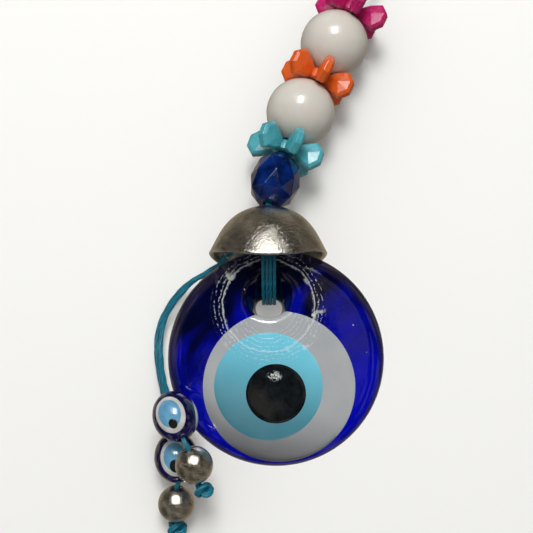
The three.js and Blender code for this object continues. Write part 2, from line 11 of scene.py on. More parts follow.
import bmesh
import bpy
from mathutils import Matrix, Vector
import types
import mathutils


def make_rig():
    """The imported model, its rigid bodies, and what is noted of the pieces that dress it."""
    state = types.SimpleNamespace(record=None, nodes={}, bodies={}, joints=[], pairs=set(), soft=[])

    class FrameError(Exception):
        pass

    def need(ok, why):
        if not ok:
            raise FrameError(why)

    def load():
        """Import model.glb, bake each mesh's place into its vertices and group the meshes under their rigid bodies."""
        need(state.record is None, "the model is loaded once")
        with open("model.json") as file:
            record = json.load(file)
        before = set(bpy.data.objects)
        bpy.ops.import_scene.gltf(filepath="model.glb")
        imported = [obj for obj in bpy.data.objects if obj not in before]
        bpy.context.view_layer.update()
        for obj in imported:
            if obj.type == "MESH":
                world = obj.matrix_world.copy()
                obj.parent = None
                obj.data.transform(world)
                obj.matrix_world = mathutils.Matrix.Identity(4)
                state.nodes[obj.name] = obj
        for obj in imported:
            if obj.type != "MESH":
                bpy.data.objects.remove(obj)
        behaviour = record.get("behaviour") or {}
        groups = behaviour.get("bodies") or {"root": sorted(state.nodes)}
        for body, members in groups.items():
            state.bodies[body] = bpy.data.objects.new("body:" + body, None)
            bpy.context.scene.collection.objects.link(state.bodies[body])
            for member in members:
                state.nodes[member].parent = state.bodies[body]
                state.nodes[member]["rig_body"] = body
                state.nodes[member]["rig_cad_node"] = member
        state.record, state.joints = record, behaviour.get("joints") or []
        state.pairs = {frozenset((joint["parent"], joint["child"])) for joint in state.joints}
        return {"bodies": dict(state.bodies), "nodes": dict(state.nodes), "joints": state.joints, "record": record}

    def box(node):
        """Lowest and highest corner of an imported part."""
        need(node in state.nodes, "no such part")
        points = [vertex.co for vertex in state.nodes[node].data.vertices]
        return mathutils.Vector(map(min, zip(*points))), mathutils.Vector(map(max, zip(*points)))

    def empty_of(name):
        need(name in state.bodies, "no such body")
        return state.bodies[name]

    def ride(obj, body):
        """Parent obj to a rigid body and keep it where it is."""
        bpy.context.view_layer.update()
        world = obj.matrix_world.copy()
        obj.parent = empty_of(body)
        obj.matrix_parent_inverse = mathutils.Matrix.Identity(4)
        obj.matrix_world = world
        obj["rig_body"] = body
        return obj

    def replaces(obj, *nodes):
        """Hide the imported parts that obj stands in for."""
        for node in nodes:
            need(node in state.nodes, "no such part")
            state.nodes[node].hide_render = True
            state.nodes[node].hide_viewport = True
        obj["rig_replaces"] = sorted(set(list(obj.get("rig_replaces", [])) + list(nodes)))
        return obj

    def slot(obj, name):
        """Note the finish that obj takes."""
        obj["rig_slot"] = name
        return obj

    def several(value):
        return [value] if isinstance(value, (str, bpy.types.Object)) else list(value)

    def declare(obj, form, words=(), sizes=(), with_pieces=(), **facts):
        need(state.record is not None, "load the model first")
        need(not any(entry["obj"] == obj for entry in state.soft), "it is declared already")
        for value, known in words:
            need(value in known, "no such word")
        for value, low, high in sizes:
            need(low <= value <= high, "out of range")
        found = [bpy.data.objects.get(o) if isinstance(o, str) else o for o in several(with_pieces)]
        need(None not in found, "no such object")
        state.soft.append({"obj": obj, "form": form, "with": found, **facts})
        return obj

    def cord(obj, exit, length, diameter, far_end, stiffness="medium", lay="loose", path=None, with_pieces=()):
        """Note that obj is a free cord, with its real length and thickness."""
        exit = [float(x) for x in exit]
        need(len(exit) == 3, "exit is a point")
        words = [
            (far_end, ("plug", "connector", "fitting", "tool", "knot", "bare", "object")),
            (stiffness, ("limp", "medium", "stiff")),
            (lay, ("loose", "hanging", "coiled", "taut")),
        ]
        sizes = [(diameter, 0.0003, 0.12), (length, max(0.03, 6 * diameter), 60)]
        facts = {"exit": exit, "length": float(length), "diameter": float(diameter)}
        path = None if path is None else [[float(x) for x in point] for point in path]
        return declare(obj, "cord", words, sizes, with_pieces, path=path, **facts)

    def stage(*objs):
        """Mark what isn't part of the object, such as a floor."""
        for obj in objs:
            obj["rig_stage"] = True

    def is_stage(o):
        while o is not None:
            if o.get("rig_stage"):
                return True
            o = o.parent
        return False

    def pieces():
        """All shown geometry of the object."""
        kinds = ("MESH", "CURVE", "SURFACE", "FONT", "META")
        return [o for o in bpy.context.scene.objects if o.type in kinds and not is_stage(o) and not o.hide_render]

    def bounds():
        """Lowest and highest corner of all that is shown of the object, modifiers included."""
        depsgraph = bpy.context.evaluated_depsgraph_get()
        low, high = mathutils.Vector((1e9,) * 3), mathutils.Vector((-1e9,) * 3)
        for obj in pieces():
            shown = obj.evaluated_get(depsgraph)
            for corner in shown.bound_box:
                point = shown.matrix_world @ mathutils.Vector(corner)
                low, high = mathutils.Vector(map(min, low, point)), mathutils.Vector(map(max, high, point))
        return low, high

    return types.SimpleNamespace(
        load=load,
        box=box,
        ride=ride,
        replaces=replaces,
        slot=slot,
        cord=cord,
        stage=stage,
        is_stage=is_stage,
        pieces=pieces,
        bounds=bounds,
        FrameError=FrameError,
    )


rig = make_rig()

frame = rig.load()
cad_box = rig.bounds()
MM = 0.001
print("cad box, mm:", [[round(v / MM, 1) for v in corner] for corner in cad_box])

# %% [markdown]
# The camera stands about 200 mm over the table and leans back a little, as a hand-held one does.
# A long way off with a long lens would give the same size but a flatter look, and here the
# tall bead cap and the tipped eye need the true distance for their shapes to come out right.

# %% Camera
camera_data = bpy.data.cameras.new("camera")
camera_data.sensor_width = 36
camera_data.lens = 57.75
camera = bpy.data.objects.new("camera", camera_data)
bpy.context.scene.collection.objects.link(camera)
back = Vector((0.0098, -0.2079, 0.9781)).normalized()
right = Vector((0.99995, 0, -0.01)).normalized()
axes = Matrix((right, back.cross(right), back)).transposed().to_4x4()
camera.matrix_world = Matrix.Translation(Vector((-0.163, -20.4, 193.7)) * MM) @ axes
bpy.context.scene.camera = camera
print("camera at, mm:", [round(v / MM, 1) for v in camera.matrix_world.translation])

# %% [markdown]
# Cords come next, because the lengths outside the view are checked first of all. A waxed cord
# is a few thin strands laid together. Its route is the one the CAD solid follows, so the same
# points are used, joined by the same kind of smooth curve: one that passes through its points
# and never swings wide of them, which is what the square root of the spacing does here.

# %% Routes of the cords
EYE_TILT = math.radians(12.6)
tipped = Matrix.Rotation(EYE_TILT, 3, "X")

TAIL_A_ROUTE = [
    (-11.61, 22.1, 5.41), (-12.6, 20.4, 4.72), (-14.95, 19.03, 3.92), (-18.72, 16.87, 2.52),
    (-21.87, 13.87, 0.92), (-24.12, 11.22, -0.28), (-25.43, 8.77, -1.08), (-26.13, 5.96, -1.48),
    (-26.36, 2.74, -1.28), (-26, -0.44, 0.02), (-25.11, -4.45, 3.02), (-23.43, -8.94, 6.99),
    (-22.26, -11.82, 7.91), (-20.7, -15.66, 9.12), (-19.54, -18.54, 10.04), (-18.44, -20.42, 10.25),
    (-17.72, -22.48, 9.6), (-16.77, -25.24, 8.73), (-16.06, -27.3, 8.08),
]
TAIL_B_ROUTE = [
    (-11.2, 21.8, 3.71), (-12, 20.1, 3.12), (-14.66, 18.88, 2.12), (-19.11, 17.48, 0.12),
    (-22.83, 14.61, -1.58), (-25.25, 11.38, -2.78), (-26.65, 8.6, -3.28), (-27.4, 5.79, -3.48),
    (-27.59, 2.48, -3.48), (-27.26, -1.39, -3.48), (-26.26, -6.29, -3.38), (-24.78, -11.7, -2.48),
    (-22.84, -17.04, 0.41), (-22.37, -20.21, 0.87), (-21.75, -24.45, 1.48), (-21.28, -27.62, 1.93),
    (-21.61, -28.66, 1.77), (-21.7, -30.8, 0.99), (-21.82, -33.66, -0.04), (-21.91, -35.8, -0.82),
]
LOOP_ROUTE = [
    (22.01, 88.33, 4.72), (23.83, 91.05, 2.52), (27.46, 95.29, -2.08), (31.4, 100.28, -3.68),
    (34.76, 106.15, -3.68), (35.16, 110.46, -3.68), (33.08, 112.97, -3.68), (29.82, 113.06, -3.68),
    (26.67, 110.09, -3.68), (24.12, 103.83, -3.68), (22.61, 97.65, -2.08), (21.5, 92.19, 2.52),
    (20.48, 89.08, 4.72),
]


def smooth_route(points, spacing=0.25):
    """Points in mm on a centripetal Catmull-Rom curve, about `spacing` mm apart, in metres."""
    points = [Vector(p) for p in points]
    ends = [2 * points[0] - points[1], *points, 2 * points[-1] - points[-2]]
    line = []
    for a, b, c, d in zip(ends, ends[1:], ends[2:], ends[3:]):
        t0, t1 = 0.0, math.sqrt((b - a).length)
        t2 = t1 + math.sqrt((c - b).length)
        t3 = t2 + math.sqrt((d - c).length)
        count = max(2, round((c - b).length / spacing))
        for i in range(count):
            t = t1 + (t2 - t1) * i / count
            ab = a.lerp(b, (t - t0) / (t1 - t0))
            bc = b.lerp(c, (t - t1) / (t2 - t1))
            cd = c.lerp(d, (t - t2) / (t3 - t2))
            abc = ab.lerp(bc, (t - t0) / (t2 - t0))
            bcd = bc.lerp(cd, (t - t1) / (t3 - t1))
            line.append(abc.lerp(bcd, (t - t1) / (t2 - t1)) * MM)
    line.append(points[-1] * MM)
    return line


def length_of(line):
    return sum((b - a).length for a, b in zip(line, line[1:]))


tail_a_line = smooth_route(TAIL_A_ROUTE)
tail_b_line = smooth_route(TAIL_B_ROUTE)
loop_line = smooth_route(LOOP_ROUTE)
print("cord lengths, mm:", [round(length_of(x) / MM, 1) for x in (tail_a_line, tail_b_line, loop_line)])

# %% [markdown]
# Node trees are built in code all through this notebook, so short helpers come first. `add`
# puts one node in a tree, with its settings and inputs, and the others each make one common
# kind. Written by hand, every node would take four or five lines, and the shape of the tree
# would be lost in them.

# %% Helpers for node trees
def add(tree, kind, inputs=None, **settings):
    node = tree.nodes.new(kind)
    for key, value in settings.items():
        setattr(node, key, value)
    for key, value in (inputs or {}).items():
        if isinstance(value, bpy.types.NodeSocket):
            tree.links.new(value, node.inputs[key])
        else:
            node.inputs[key].default_value = value
    return node


def new_tree(name, kind, inputs, outputs):
    tree = bpy.data.node_groups.new(name, kind)
    for label, socket, value in inputs:
        made = tree.interface.new_socket(label, in_out="INPUT", socket_type="NodeSocket" + socket)
        if value is not None:
            made.default_value = value
    for label, socket in outputs:
        tree.interface.new_socket(label, in_out="OUTPUT", socket_type="NodeSocket" + socket)
    return tree, add(tree, "NodeGroupInput").outputs, add(tree, "NodeGroupOutput")


def math_node(tree, operation, *values, clamp=False):
    inputs = dict(enumerate(values))
    return add(tree, "ShaderNodeMath", inputs, operation=operation, use_clamp=clamp).outputs[0]


def vector_node(tree, operation, *values):
    return add(tree, "ShaderNodeVectorMath", dict(enumerate(values)), operation=operation).outputs[0]


def length_node(tree, vector):
    return add(tree, "ShaderNodeVectorMath", {0: vector}, operation="LENGTH").outputs["Value"]


def noise(tree, vector, scale, detail=2.0, **more):
    inputs = {"Vector": vector, "Scale": scale, "Detail": detail, **more}
    return add(tree, "ShaderNodeTexNoise", inputs).outputs[0]


def ramp_node(tree, value, low, high, to_low=0.0, to_high=1.0, kind="SMOOTHSTEP"):
    """Turns the stretch from low to high of a value into another stretch."""
    inputs = {"Value": value, "From Min": low, "From Max": high, "To Min": to_low, "To Max": to_high}
    return add(tree, "ShaderNodeMapRange", inputs, interpolation_type=kind).outputs[0]


def mixed(tree, share, under, over, blend="MIX"):
    inputs = {0: share, 6: under, 7: over}
    return add(tree, "ShaderNodeMix", inputs, data_type="RGBA", blend_type=blend).outputs[2]

# %% [markdown]
# A mesh becomes a piece of the scene through a few more helpers. `dressed_by` gives a mesh to a
# Geometry Nodes tree, with values for the tree's named inputs, and keeps what comes out as a
# plain mesh. A tree left live on a piece would lose its instances on export. The values are
# set by each socket's identifier, because names may repeat.

# %% Helpers for pieces
def shown(name, mesh):
    piece = bpy.data.objects.new(name, mesh)
    bpy.context.scene.collection.objects.link(piece)
    return piece


def plain_mesh(piece):
    """Swaps a piece for the mesh that its modifiers make of it."""
    bpy.context.view_layer.update()
    seen = piece.evaluated_get(bpy.context.evaluated_depsgraph_get())
    mesh = bpy.data.meshes.new_from_object(seen)
    name = piece.name
    bpy.data.objects.remove(piece)
    mesh.name = name
    return shown(name, mesh)


def dressed_by(tree, piece, **values):
    modifier = piece.modifiers.new("nodes", "NODES")
    modifier.node_group = tree
    for item in tree.interface.items_tree:
        if item.in_out == "INPUT" and item.name in values:
            modifier[item.identifier] = values[item.name]
    return plain_mesh(piece)


def from_lists(name, verts, faces=(), edges=()):
    mesh = bpy.data.meshes.new(name)
    mesh.from_pydata([tuple(v) for v in verts], list(edges), list(faces))
    mesh.update()
    return shown(name, mesh)

# %% [markdown]
# A cord's finish is made before the cord, because its tree ends in Set Material. Waxed thread
# has fine fibres that run along it, of uneven tone and painted darker in the grooves where they
# part, as shade, with a dull gleam on the wax. The rope tree leaves two numbers on the mesh,
# `along` in metres and `around` from 0 to 1, and the fibres are noise stretched along the first.
# Two small groups are shared by many finishes: `drift` wanders between two colours, and `wear`
# wanders between two roughnesses with specks.

# %% Shared effects
PER_METRE = 1000.0


def shader_group(name, inputs, outputs):
    return new_tree(name, "ShaderNodeTree", inputs, outputs)


drift, taken, given = shader_group(
    "drift",
    [("Vector", "Vector", None), ("Size", "Float", 4.0),
     ("Deep", "Color", (0, 0, 0, 1)), ("Pale", "Color", (1, 1, 1, 1))],
    [("Color", "Color")],
)
per_mm = math_node(drift, "DIVIDE", PER_METRE, taken["Size"])
cloud = noise(drift, taken["Vector"], per_mm, 3.0, Roughness=0.55)
share = ramp_node(drift, cloud, 0.32, 0.68, kind="LINEAR")
drift.links.new(mixed(drift, share, taken["Deep"], taken["Pale"]), given.inputs["Color"])

wear, taken, given = shader_group(
    "wear",
    [("Vector", "Vector", None), ("Smooth", "Float", 0.1), ("Rough", "Float", 0.3),
     ("Size", "Float", 3.0), ("Speck", "Float", 0.25)],
    [("Roughness", "Float"), ("Height", "Float")],
)
smears = noise(wear, taken["Vector"], math_node(wear, "DIVIDE", PER_METRE, taken["Size"]), 4.0)
specks = noise(wear, taken["Vector"], math_node(wear, "DIVIDE", PER_METRE, taken["Speck"]))
both = math_node(wear, "MULTIPLY", smears, specks)
rough = ramp_node(wear, both, 0.15, 0.42, taken["Smooth"], taken["Rough"], "LINEAR")
wear.links.new(rough, given.inputs["Roughness"])
wear.links.new(specks, given.inputs["Height"])
print("shared effects:", drift.name, wear.name)

# %% [markdown]
# Every finish is a Principled shader, set once, and then varied over the surface by the two
# groups. A real surface is never one flat colour with one gloss, and the eye reads an even one
# as plastic. The groups read Object coordinates. Every finished piece stands at the origin,
# unscaled, so these are true distances, and a pattern keeps its size from piece to piece.

# %% Helpers for finishes
def finish(name, **settings):
    """A material with its Principled shader set, and its tree for the nodes that vary it."""
    material = bpy.data.materials.new(name)
    material.use_nodes = True
    shader = material.node_tree.nodes["Principled BSDF"]
    for key, value in settings.items():
        shader.inputs[key.replace("_", " ")].default_value = value
    return material, material.node_tree, shader


def varied(parts, deep, pale, size, smooth=0.1, rough=0.3, wear_size=3.0, speck=0.25, bump=0.0, depth=0.05):
    """Wires the two shared effects to a shader: colour drift, uneven gloss and a fine bump."""
    material, tree, shader = parts
    place = add(tree, "ShaderNodeTexCoord").outputs["Object"]
    tints = {"Vector": place, "Size": size, "Deep": (*deep, 1), "Pale": (*pale, 1)}
    colour = add(tree, "ShaderNodeGroup", tints, node_tree=drift)
    wears = {"Vector": place, "Smooth": smooth, "Rough": rough, "Size": wear_size, "Speck": speck}
    gloss = add(tree, "ShaderNodeGroup", wears, node_tree=wear)
    tree.links.new(colour.outputs["Color"], shader.inputs["Base Color"])
    tree.links.new(gloss.outputs["Roughness"], shader.inputs["Roughness"])
    if bump:
        raised(tree, shader, gloss.outputs["Height"], bump, depth)
    return material


def raised(tree, shader, height, strength, depth):
    """Bends a shader's normal by a height, which stands for `depth` in mm."""
    inputs = {"Strength": strength, "Distance": depth * MM, "Height": height}
    tree.links.new(add(tree, "ShaderNodeBump", inputs).outputs[0], shader.inputs["Normal"])

# %% [markdown]
# The cord is teal waxed thread. Its fibres run along it, so the noise that draws them is
# stretched along the cord and squeezed round it. A picture of thread wrapped on would smear at
# the bends, where the two numbers that the rope tree leaves keep their spacing.

# %% Waxed cord finish
ALONG_PER_METRE, ROUND = 420.0, 14.0
cord_parts = finish("waxed_cord", Coat_Weight=0.25, Coat_Roughness=0.35, Specular_IOR_Level=0.4)
waxed_cord, tree, shader = cord_parts
along = add(tree, "ShaderNodeAttribute", attribute_name="along").outputs["Fac"]
around = add(tree, "ShaderNodeAttribute", attribute_name="around").outputs["Fac"]
along_slow = math_node(tree, "MULTIPLY", along, ALONG_PER_METRE)
around_fast = math_node(tree, "MULTIPLY", around, ROUND)
fibre_place = add(tree, "ShaderNodeCombineXYZ", {"X": along_slow, "Y": around_fast}).outputs[0]
fibres = noise(tree, fibre_place, 1.0, 3.0)
# The fibre noise gives the fibres their uneven tone. Its low parts, the grooves of the bump below, are painted darker
# as shade.
ramp = add(tree, "ShaderNodeValToRGB", {"Fac": fibres})
groove_shade, light = ramp.color_ramp.elements
groove_shade.position, groove_shade.color = 0.36, (0.0, 0.055, 0.10, 1)
light.position, light.color = 0.62, (0.007, 0.24, 0.35, 1)
tree.links.new(ramp.outputs[0], shader.inputs["Base Color"])
raised(tree, shader, fibres, 0.7, 0.08)
tree.links.new(ramp_node(tree, fibres, 0, 1, 0.55, 0.32, "LINEAR"), shader.inputs["Roughness"])
print("finish:", waxed_cord.name)

# %% [markdown]
# The rope tree follows any line. It turns the line's edges into a curve, writes down how far
# along each point is, twists the curve, and sweeps a ring of small circles along it, one for
# each strand. Sweeping one round profile and faking the strands with a bump would be cheaper,
# but a cord's outline is lobed where its strands cross, and that shows against a pale table.

# %% Rope tree
def noted(tree, geometry, name, value):
    """Writes a number down on every point, for the finish to read."""
    inputs = {"Geometry": geometry, "Name": name, "Value": value}
    kept = add(tree, "GeometryNodeStoreNamedAttribute", inputs, domain="POINT", data_type="FLOAT")
    return kept.outputs[0]


rope, taken, given = new_tree(
    "rope", "GeometryNodeTree",
    [("Geometry", "Geometry", None), ("Strands", "Int", 3), ("Strand Radius", "Float", 0.34 * MM),
     ("Lay Radius", "Float", 0.26 * MM), ("Turns per Metre", "Float", 140.0),
     ("Material", "Material", None)],
    [("Geometry", "Geometry")],
)
line = add(rope, "GeometryNodeMeshToCurve", {"Mesh": taken["Geometry"]}).outputs[0]
run = add(rope, "GeometryNodeSplineParameter").outputs["Length"]
stored = noted(rope, line, "along", run)
turns = math_node(rope, "MULTIPLY", run, taken["Turns per Metre"])
tilt = math_node(rope, "MULTIPLY", turns, 2 * math.pi)
twisted = add(rope, "GeometryNodeSetCurveTilt", {"Curve": stored, "Tilt": tilt}).outputs[0]
lay = {"Vertices": taken["Strands"], "Radius": taken["Lay Radius"]}
ring = add(rope, "GeometryNodeMeshCircle", lay).outputs[0]
one = {"Resolution": 10, "Radius": taken["Strand Radius"]}
strand = add(rope, "GeometryNodeCurvePrimitiveCircle", one).outputs[0]
turn_round = add(rope, "GeometryNodeSplineParameter").outputs["Factor"]
marked = noted(rope, strand, "around", turn_round)
laid = add(rope, "GeometryNodeInstanceOnPoints", {"Points": ring, "Instance": marked}).outputs[0]
profile = add(rope, "GeometryNodeRealizeInstances", {"Geometry": laid}).outputs[0]
sweep = {"Curve": twisted, "Profile Curve": profile, "Fill Caps": True}
swept = add(rope, "GeometryNodeCurveToMesh", sweep).outputs[0]
smooth = add(rope, "GeometryNodeSetShadeSmooth", {"Geometry": swept}).outputs[0]
real = add(rope, "GeometryNodeRealizeInstances", {"Geometry": smooth}).outputs[0]
done = add(rope, "GeometryNodeSetMaterial", {"Geometry": real, "Material": taken["Material"]}).outputs[0]
rope.links.new(done, given.inputs["Geometry"])


def roped(name, line, closed=False, strands=3, strand_radius=0.34, lay_radius=0.26, turns=140.0):
    """A rope along a line of points in metres. Its radii are in mm and its turns per metre."""
    edges = [(i, i + 1) for i in range(len(line) - 1)]
    if closed:
        edges.append((len(line) - 1, 0))
    bare = from_lists(name, line, edges=edges)
    values = {"Strands": strands, "Turns per Metre": turns, "Material": waxed_cord}
    values.update({"Strand Radius": strand_radius * MM, "Lay Radius": lay_radius * MM})
    return dressed_by(rope, bare, **values)


# How the thin cords of the tails and the loop are laid: loosely, from four strands.
LAY = {"strands": 4, "strand_radius": 0.3, "lay_radius": 0.28, "turns": 55.0}
tail_a = roped("tail_a_cord", tail_a_line, **LAY)
tail_b = roped("tail_b_cord", tail_b_line, **LAY)
hanging = roped("hanging_cord", loop_line, **LAY)
print("faces of tail a:", len(tail_a.data.polygons))

# %% [markdown]
# The loops that carry the eye run over the front of the glass, down through the hole and up the
# back. Four strands lie side by side in the hole, so each of the two CAD loops becomes a pair.
# Their routes are written for the flat-lying eye and then tipped with it.

# %% Loops, strand cords and tail roots
EYE_LOOP = [
    (26.71, 5.16), (24.4, 7.4), (22, 8.8), (19.3, 8.36), (17.1, 7.68), (14.72, 5.4), (12.94, 3),
    (11.9, 0.5), (12.81, -1.6), (16.11, -1.5), (20, -1.3), (24, -0.8), (26.38, 0.04),
]
for body_side, x in (("left", -2.3), ("right", -0.7)):
    for half, shift in (("inner", -0.42), ("outer", 0.42)):
        line = smooth_route([tipped @ Vector((x + shift, y, z)) for y, z in EYE_LOOP])
        loop = roped(f"eye_loop_{body_side}_{half}", line, strand_radius=0.24, lay_radius=0.18, turns=110.0)
        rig.ride(loop, "eye")
        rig.replaces(loop, "eye_loop_" + body_side)
        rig.slot(loop, "teal_cord")

BUNDLE = {"strands": 4, "strand_radius": 0.38, "lay_radius": 0.42, "turns": 60.0}
STRAND_ROUTES = {
    "strand_lower": ("strand_cord_lower", [
        (-1.65, 30.15, 8.72), (-1.65, 32.35, 8.72), (-1.62, 33.39, 8.1), (-0.67, 36.95, 7.29),
        (0.59, 41.71, 6.21), (1.54, 45.28, 5.4), (2.31, 47.27, 5.32), (2.87, 49.51, 4.96),
        (5.85, 56.5, 4.72)]),
    "strand_middle": ("strand_cord_middle", [
        (6, 56.87, 4.71), (8.98, 63.86, 4.47), (10.01, 65.37, 4.72), (10.73, 67.02, 4.72),
        (14.01, 73.87, 4.72)]),
    "strand_upper": ("strand_cord_upper", [
        (14.19, 74.23, 4.72), (17.47, 81.09, 4.72), (18.31, 82.68, 4.72), (19.01, 84.12, 4.72)]),
}
for body, (node, route) in STRAND_ROUTES.items():
    bundle = roped(node + "_bundle", smooth_route(route), **BUNDLE)
    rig.ride(bundle, body)
    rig.replaces(bundle, node)
    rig.slot(bundle, "teal_cord")

TAIL_ROOTS = {
    "a": [(-4.6, 26.61, 8.02), (-8.61, 24.91, 6.82), (-11.2, 22.61, 5.61)],
    "b": [(-4.6, 25.81, 5.91), (-8.4, 24.31, 4.81), (-10.9, 22.31, 3.92)],
}
for side, route in TAIL_ROOTS.items():
    root = roped("tail_root_cord_" + side, smooth_route(route), **LAY)
    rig.ride(root, "eye")
    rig.replaces(root, "tail_root_" + side)
    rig.slot(root, "teal_cord")
print("cord stretches:", len(STRAND_ROUTES), "in the strand,", len(TAIL_ROOTS), "tail roots")

# %% [markdown]
# A knot in thin cord is a lump of three or four turns drawn tight. A trefoil, pulled in until
# its turns press on each other, has that look from every side, and it is one closed line, so
# the same rope tree makes it.

# %% Knots
def middle(node):
    """The middle of a CAD node's box, in mm."""
    low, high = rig.box(node)
    return (Vector(low) + Vector(high)) / 2 / MM


KNOT_POINTS, KNOT_SHARE, KNOT_DEPTH, DRAWN_UP = 96, 0.851 / 3, 0.9, 0.08


def knot_line(centre, size, turned):
    """A trefoil, in metres, with a centreline that is 0.85 of `size` across, in mm."""
    ring = size * KNOT_SHARE
    line = []
    for i in range(KNOT_POINTS):
        t = 2 * math.pi * i / KNOT_POINTS
        reach = ring * (1 + math.cos(3 * t) / 2)
        rise = ring * KNOT_DEPTH * math.sin(3 * t)
        bare = Vector((reach * math.cos(2 * t), reach * math.sin(2 * t), rise))
        line.append((Vector(centre) + Matrix.Rotation(turned, 3, "X") @ bare) * MM)
    return line


# Each knot: its body, its size, how it is turned, and the bead it is drawn up against.
KNOTS = {
    "cap_knot": ("eye", 4.3, 0.0, "cap_knot"),
    "end_knot": ("strand_upper", 4.1, math.pi / 2, "end_knot"),
    "tail_knot_a": ("tail_a", 3.7, math.pi / 2, "silver_bead_a"),
    "tail_knot_b": ("tail_b", 4.0, math.pi / 2, "silver_bead_b"),
}
knots = {}
for node, (body, size, turned, against) in KNOTS.items():
    line = knot_line(middle(node).lerp(middle(against), DRAWN_UP), size, turned)
    knots[node] = roped(node + "_turns", line, closed=True, strand_radius=0.4, lay_radius=0.28, turns=90.0)
    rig.ride(knots[node], body)
    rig.replaces(knots[node], node)
    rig.slot(knots[node], "teal_cord")
print("knots:", len(knots), "each of", len(knots["end_knot"].data.polygons), "faces")

# %% [markdown]
# Most of the other pieces are turned: every point of an outline goes once round an axis. Beads
# are turned about the cord, so `threaded` lays a piece made about its own Y axis along the
# cord's direction at that bead, and keeps it in the mesh, so the object stays at the origin.

# %% Turning and threading
def outward(piece, sharp_angle=40):
    shape = bmesh.new()
    shape.from_mesh(piece.data)
    bmesh.ops.remove_doubles(shape, verts=shape.verts, dist=1e-7)
    bmesh.ops.recalc_face_normals(shape, faces=shape.faces)
    shape.to_mesh(piece.data)
    shape.free()
    piece.data.shade_smooth()
    piece.data.set_sharp_from_angle(angle=math.radians(sharp_angle))
    return piece


def turned_mesh(name, outline, segments=96):
    """Turns a closed outline of (radius, height) pairs, in mm, about the Y axis."""
    verts, faces, rows = [], [], len(outline)
    for i in range(segments):
        a = 2 * math.pi * i / segments
        verts += [(r * math.cos(a) * MM, y * MM, r * math.sin(a) * MM) for r, y in outline]
    for i in range(segments):
        j = (i + 1) % segments
        for k in range(rows):
            m = (k + 1) % rows
            faces.append((i * rows + k, i * rows + m, j * rows + m, j * rows + k))
    return outward(from_lists(name, verts, faces))


def arc(cx, cy, rx, ry, start, end, steps):
    angles = [math.radians(start + (end - start) * i / steps) for i in range(steps + 1)]
    return [(cx + rx * math.cos(a), cy + ry * math.sin(a)) for a in angles]


def threaded(node, way, turn=0.0):
    way = Vector(way).normalized()
    side = way.cross(Vector((0, 0, 1))).normalized()
    basis = Matrix((side, way, side.cross(way))).transposed().to_4x4()
    return Matrix.Translation(middle(node) * MM) @ basis @ Matrix.Rotation(turn, 4, "Y")


def settle(piece, place, body, nodes, slot, material=None):
    """Places a piece in its mesh, gives it its finish and ties it to its CAD body."""
    piece.data.transform(place)
    if material:
        piece.data.materials.clear()
        piece.data.materials.append(material)
    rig.ride(piece, body)
    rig.replaces(piece, *nodes)
    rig.slot(piece, slot)
    return piece

# %% [markdown]
# The eye is cobalt glass, poured flat on its back and pierced while soft. When the glass was
# pressed, rings of small ripples froze in it round the hole. The short bright dashes where they
# would catch the light are painted on as pale glints, a painted highlight. Waves that fine would
# need a mesh far denser than the rest of the eye. The shared effect `ripples` draws them as a
# mask, which the finishes turn into bump and into the painted highlight's colour.

# %% Ripples in pressed glass, with their painted glints
FROM_HOLE = (1.55, -11.9, 0)  # from the middle of the ripples to the middle of the eye, mm
WAVE = 0.95  # from one ripple to the next, mm
CIRCLE = 10.7  # the one unbroken ripple's distance from the middle, mm

ripples, taken, given = shader_group(
    "ripples",
    [("Vector", "Vector", None), ("Inner", "Float", 9.2), ("Outer", "Float", 12.9)],
    [("Flat", "Vector"), ("Line", "Float"), ("Distance", "Float")],
)
# The eye's own millimetres: its tilt on the table is undone, so height runs along the third axis.
level_out = {0: taken["Vector"], "Rotation": (-EYE_TILT, 0, 0), "Scale": (PER_METRE,) * 3}
flat = add(ripples, "ShaderNodeMapping", level_out).outputs[0]
away = vector_node(ripples, "ADD", flat, FROM_HOLE)
level = vector_node(ripples, "MULTIPLY", away, (1, 1, 0))
distance = length_node(ripples, level)
parts = add(ripples, "ShaderNodeSeparateXYZ", {0: level}).outputs
heading = math_node(ripples, "ARCTAN2", parts[1], parts[0])

# Waves across the distance, swayed by a slow noise, and one circle that follows the same sway.
wobble = noise(ripples, level, 0.35)
swayed = math_node(ripples, "MULTIPLY_ADD", wobble, 1.6, distance)
wave = math_node(ripples, "SINE", math_node(ripples, "MULTIPLY", swayed, 2 * math.pi / WAVE))
crest = ramp_node(ripples, wave, 0.5, 0.95)
strayed = math_node(ripples, "ADD", math_node(ripples, "MULTIPLY_ADD", wobble, 1.2, distance), -CIRCLE)
circle = ramp_node(ripples, math_node(ripples, "ABSOLUTE", strayed), 0.2, 0.07)

# Gaps run across the waves, because their noise is read in heading and distance.
round_it = math_node(ripples, "MULTIPLY", heading, 22.0)
across_it = math_node(ripples, "MULTIPLY", distance, 2.6)
polar = add(ripples, "ShaderNodeCombineXYZ", {0: round_it, 1: across_it}).outputs[0]
gaps = noise(ripples, polar, 1.0)
dashes = math_node(ripples, "MULTIPLY", crest, ramp_node(ripples, gaps, 0.50, 0.55))
circle = math_node(ripples, "MULTIPLY", circle, ramp_node(ripples, gaps, 0.34, 0.44))
pools = ramp_node(ripples, noise(ripples, level, 0.28, 4.0), 0.6, 0.68)
# The dashes, pools and circle serve two purposes. They are the ripples' height for the bump, and they mark where the
# painted glints go.
ripples_and_glints = math_node(ripples, "MAXIMUM", math_node(ripples, "MAXIMUM", dashes, pools), circle)

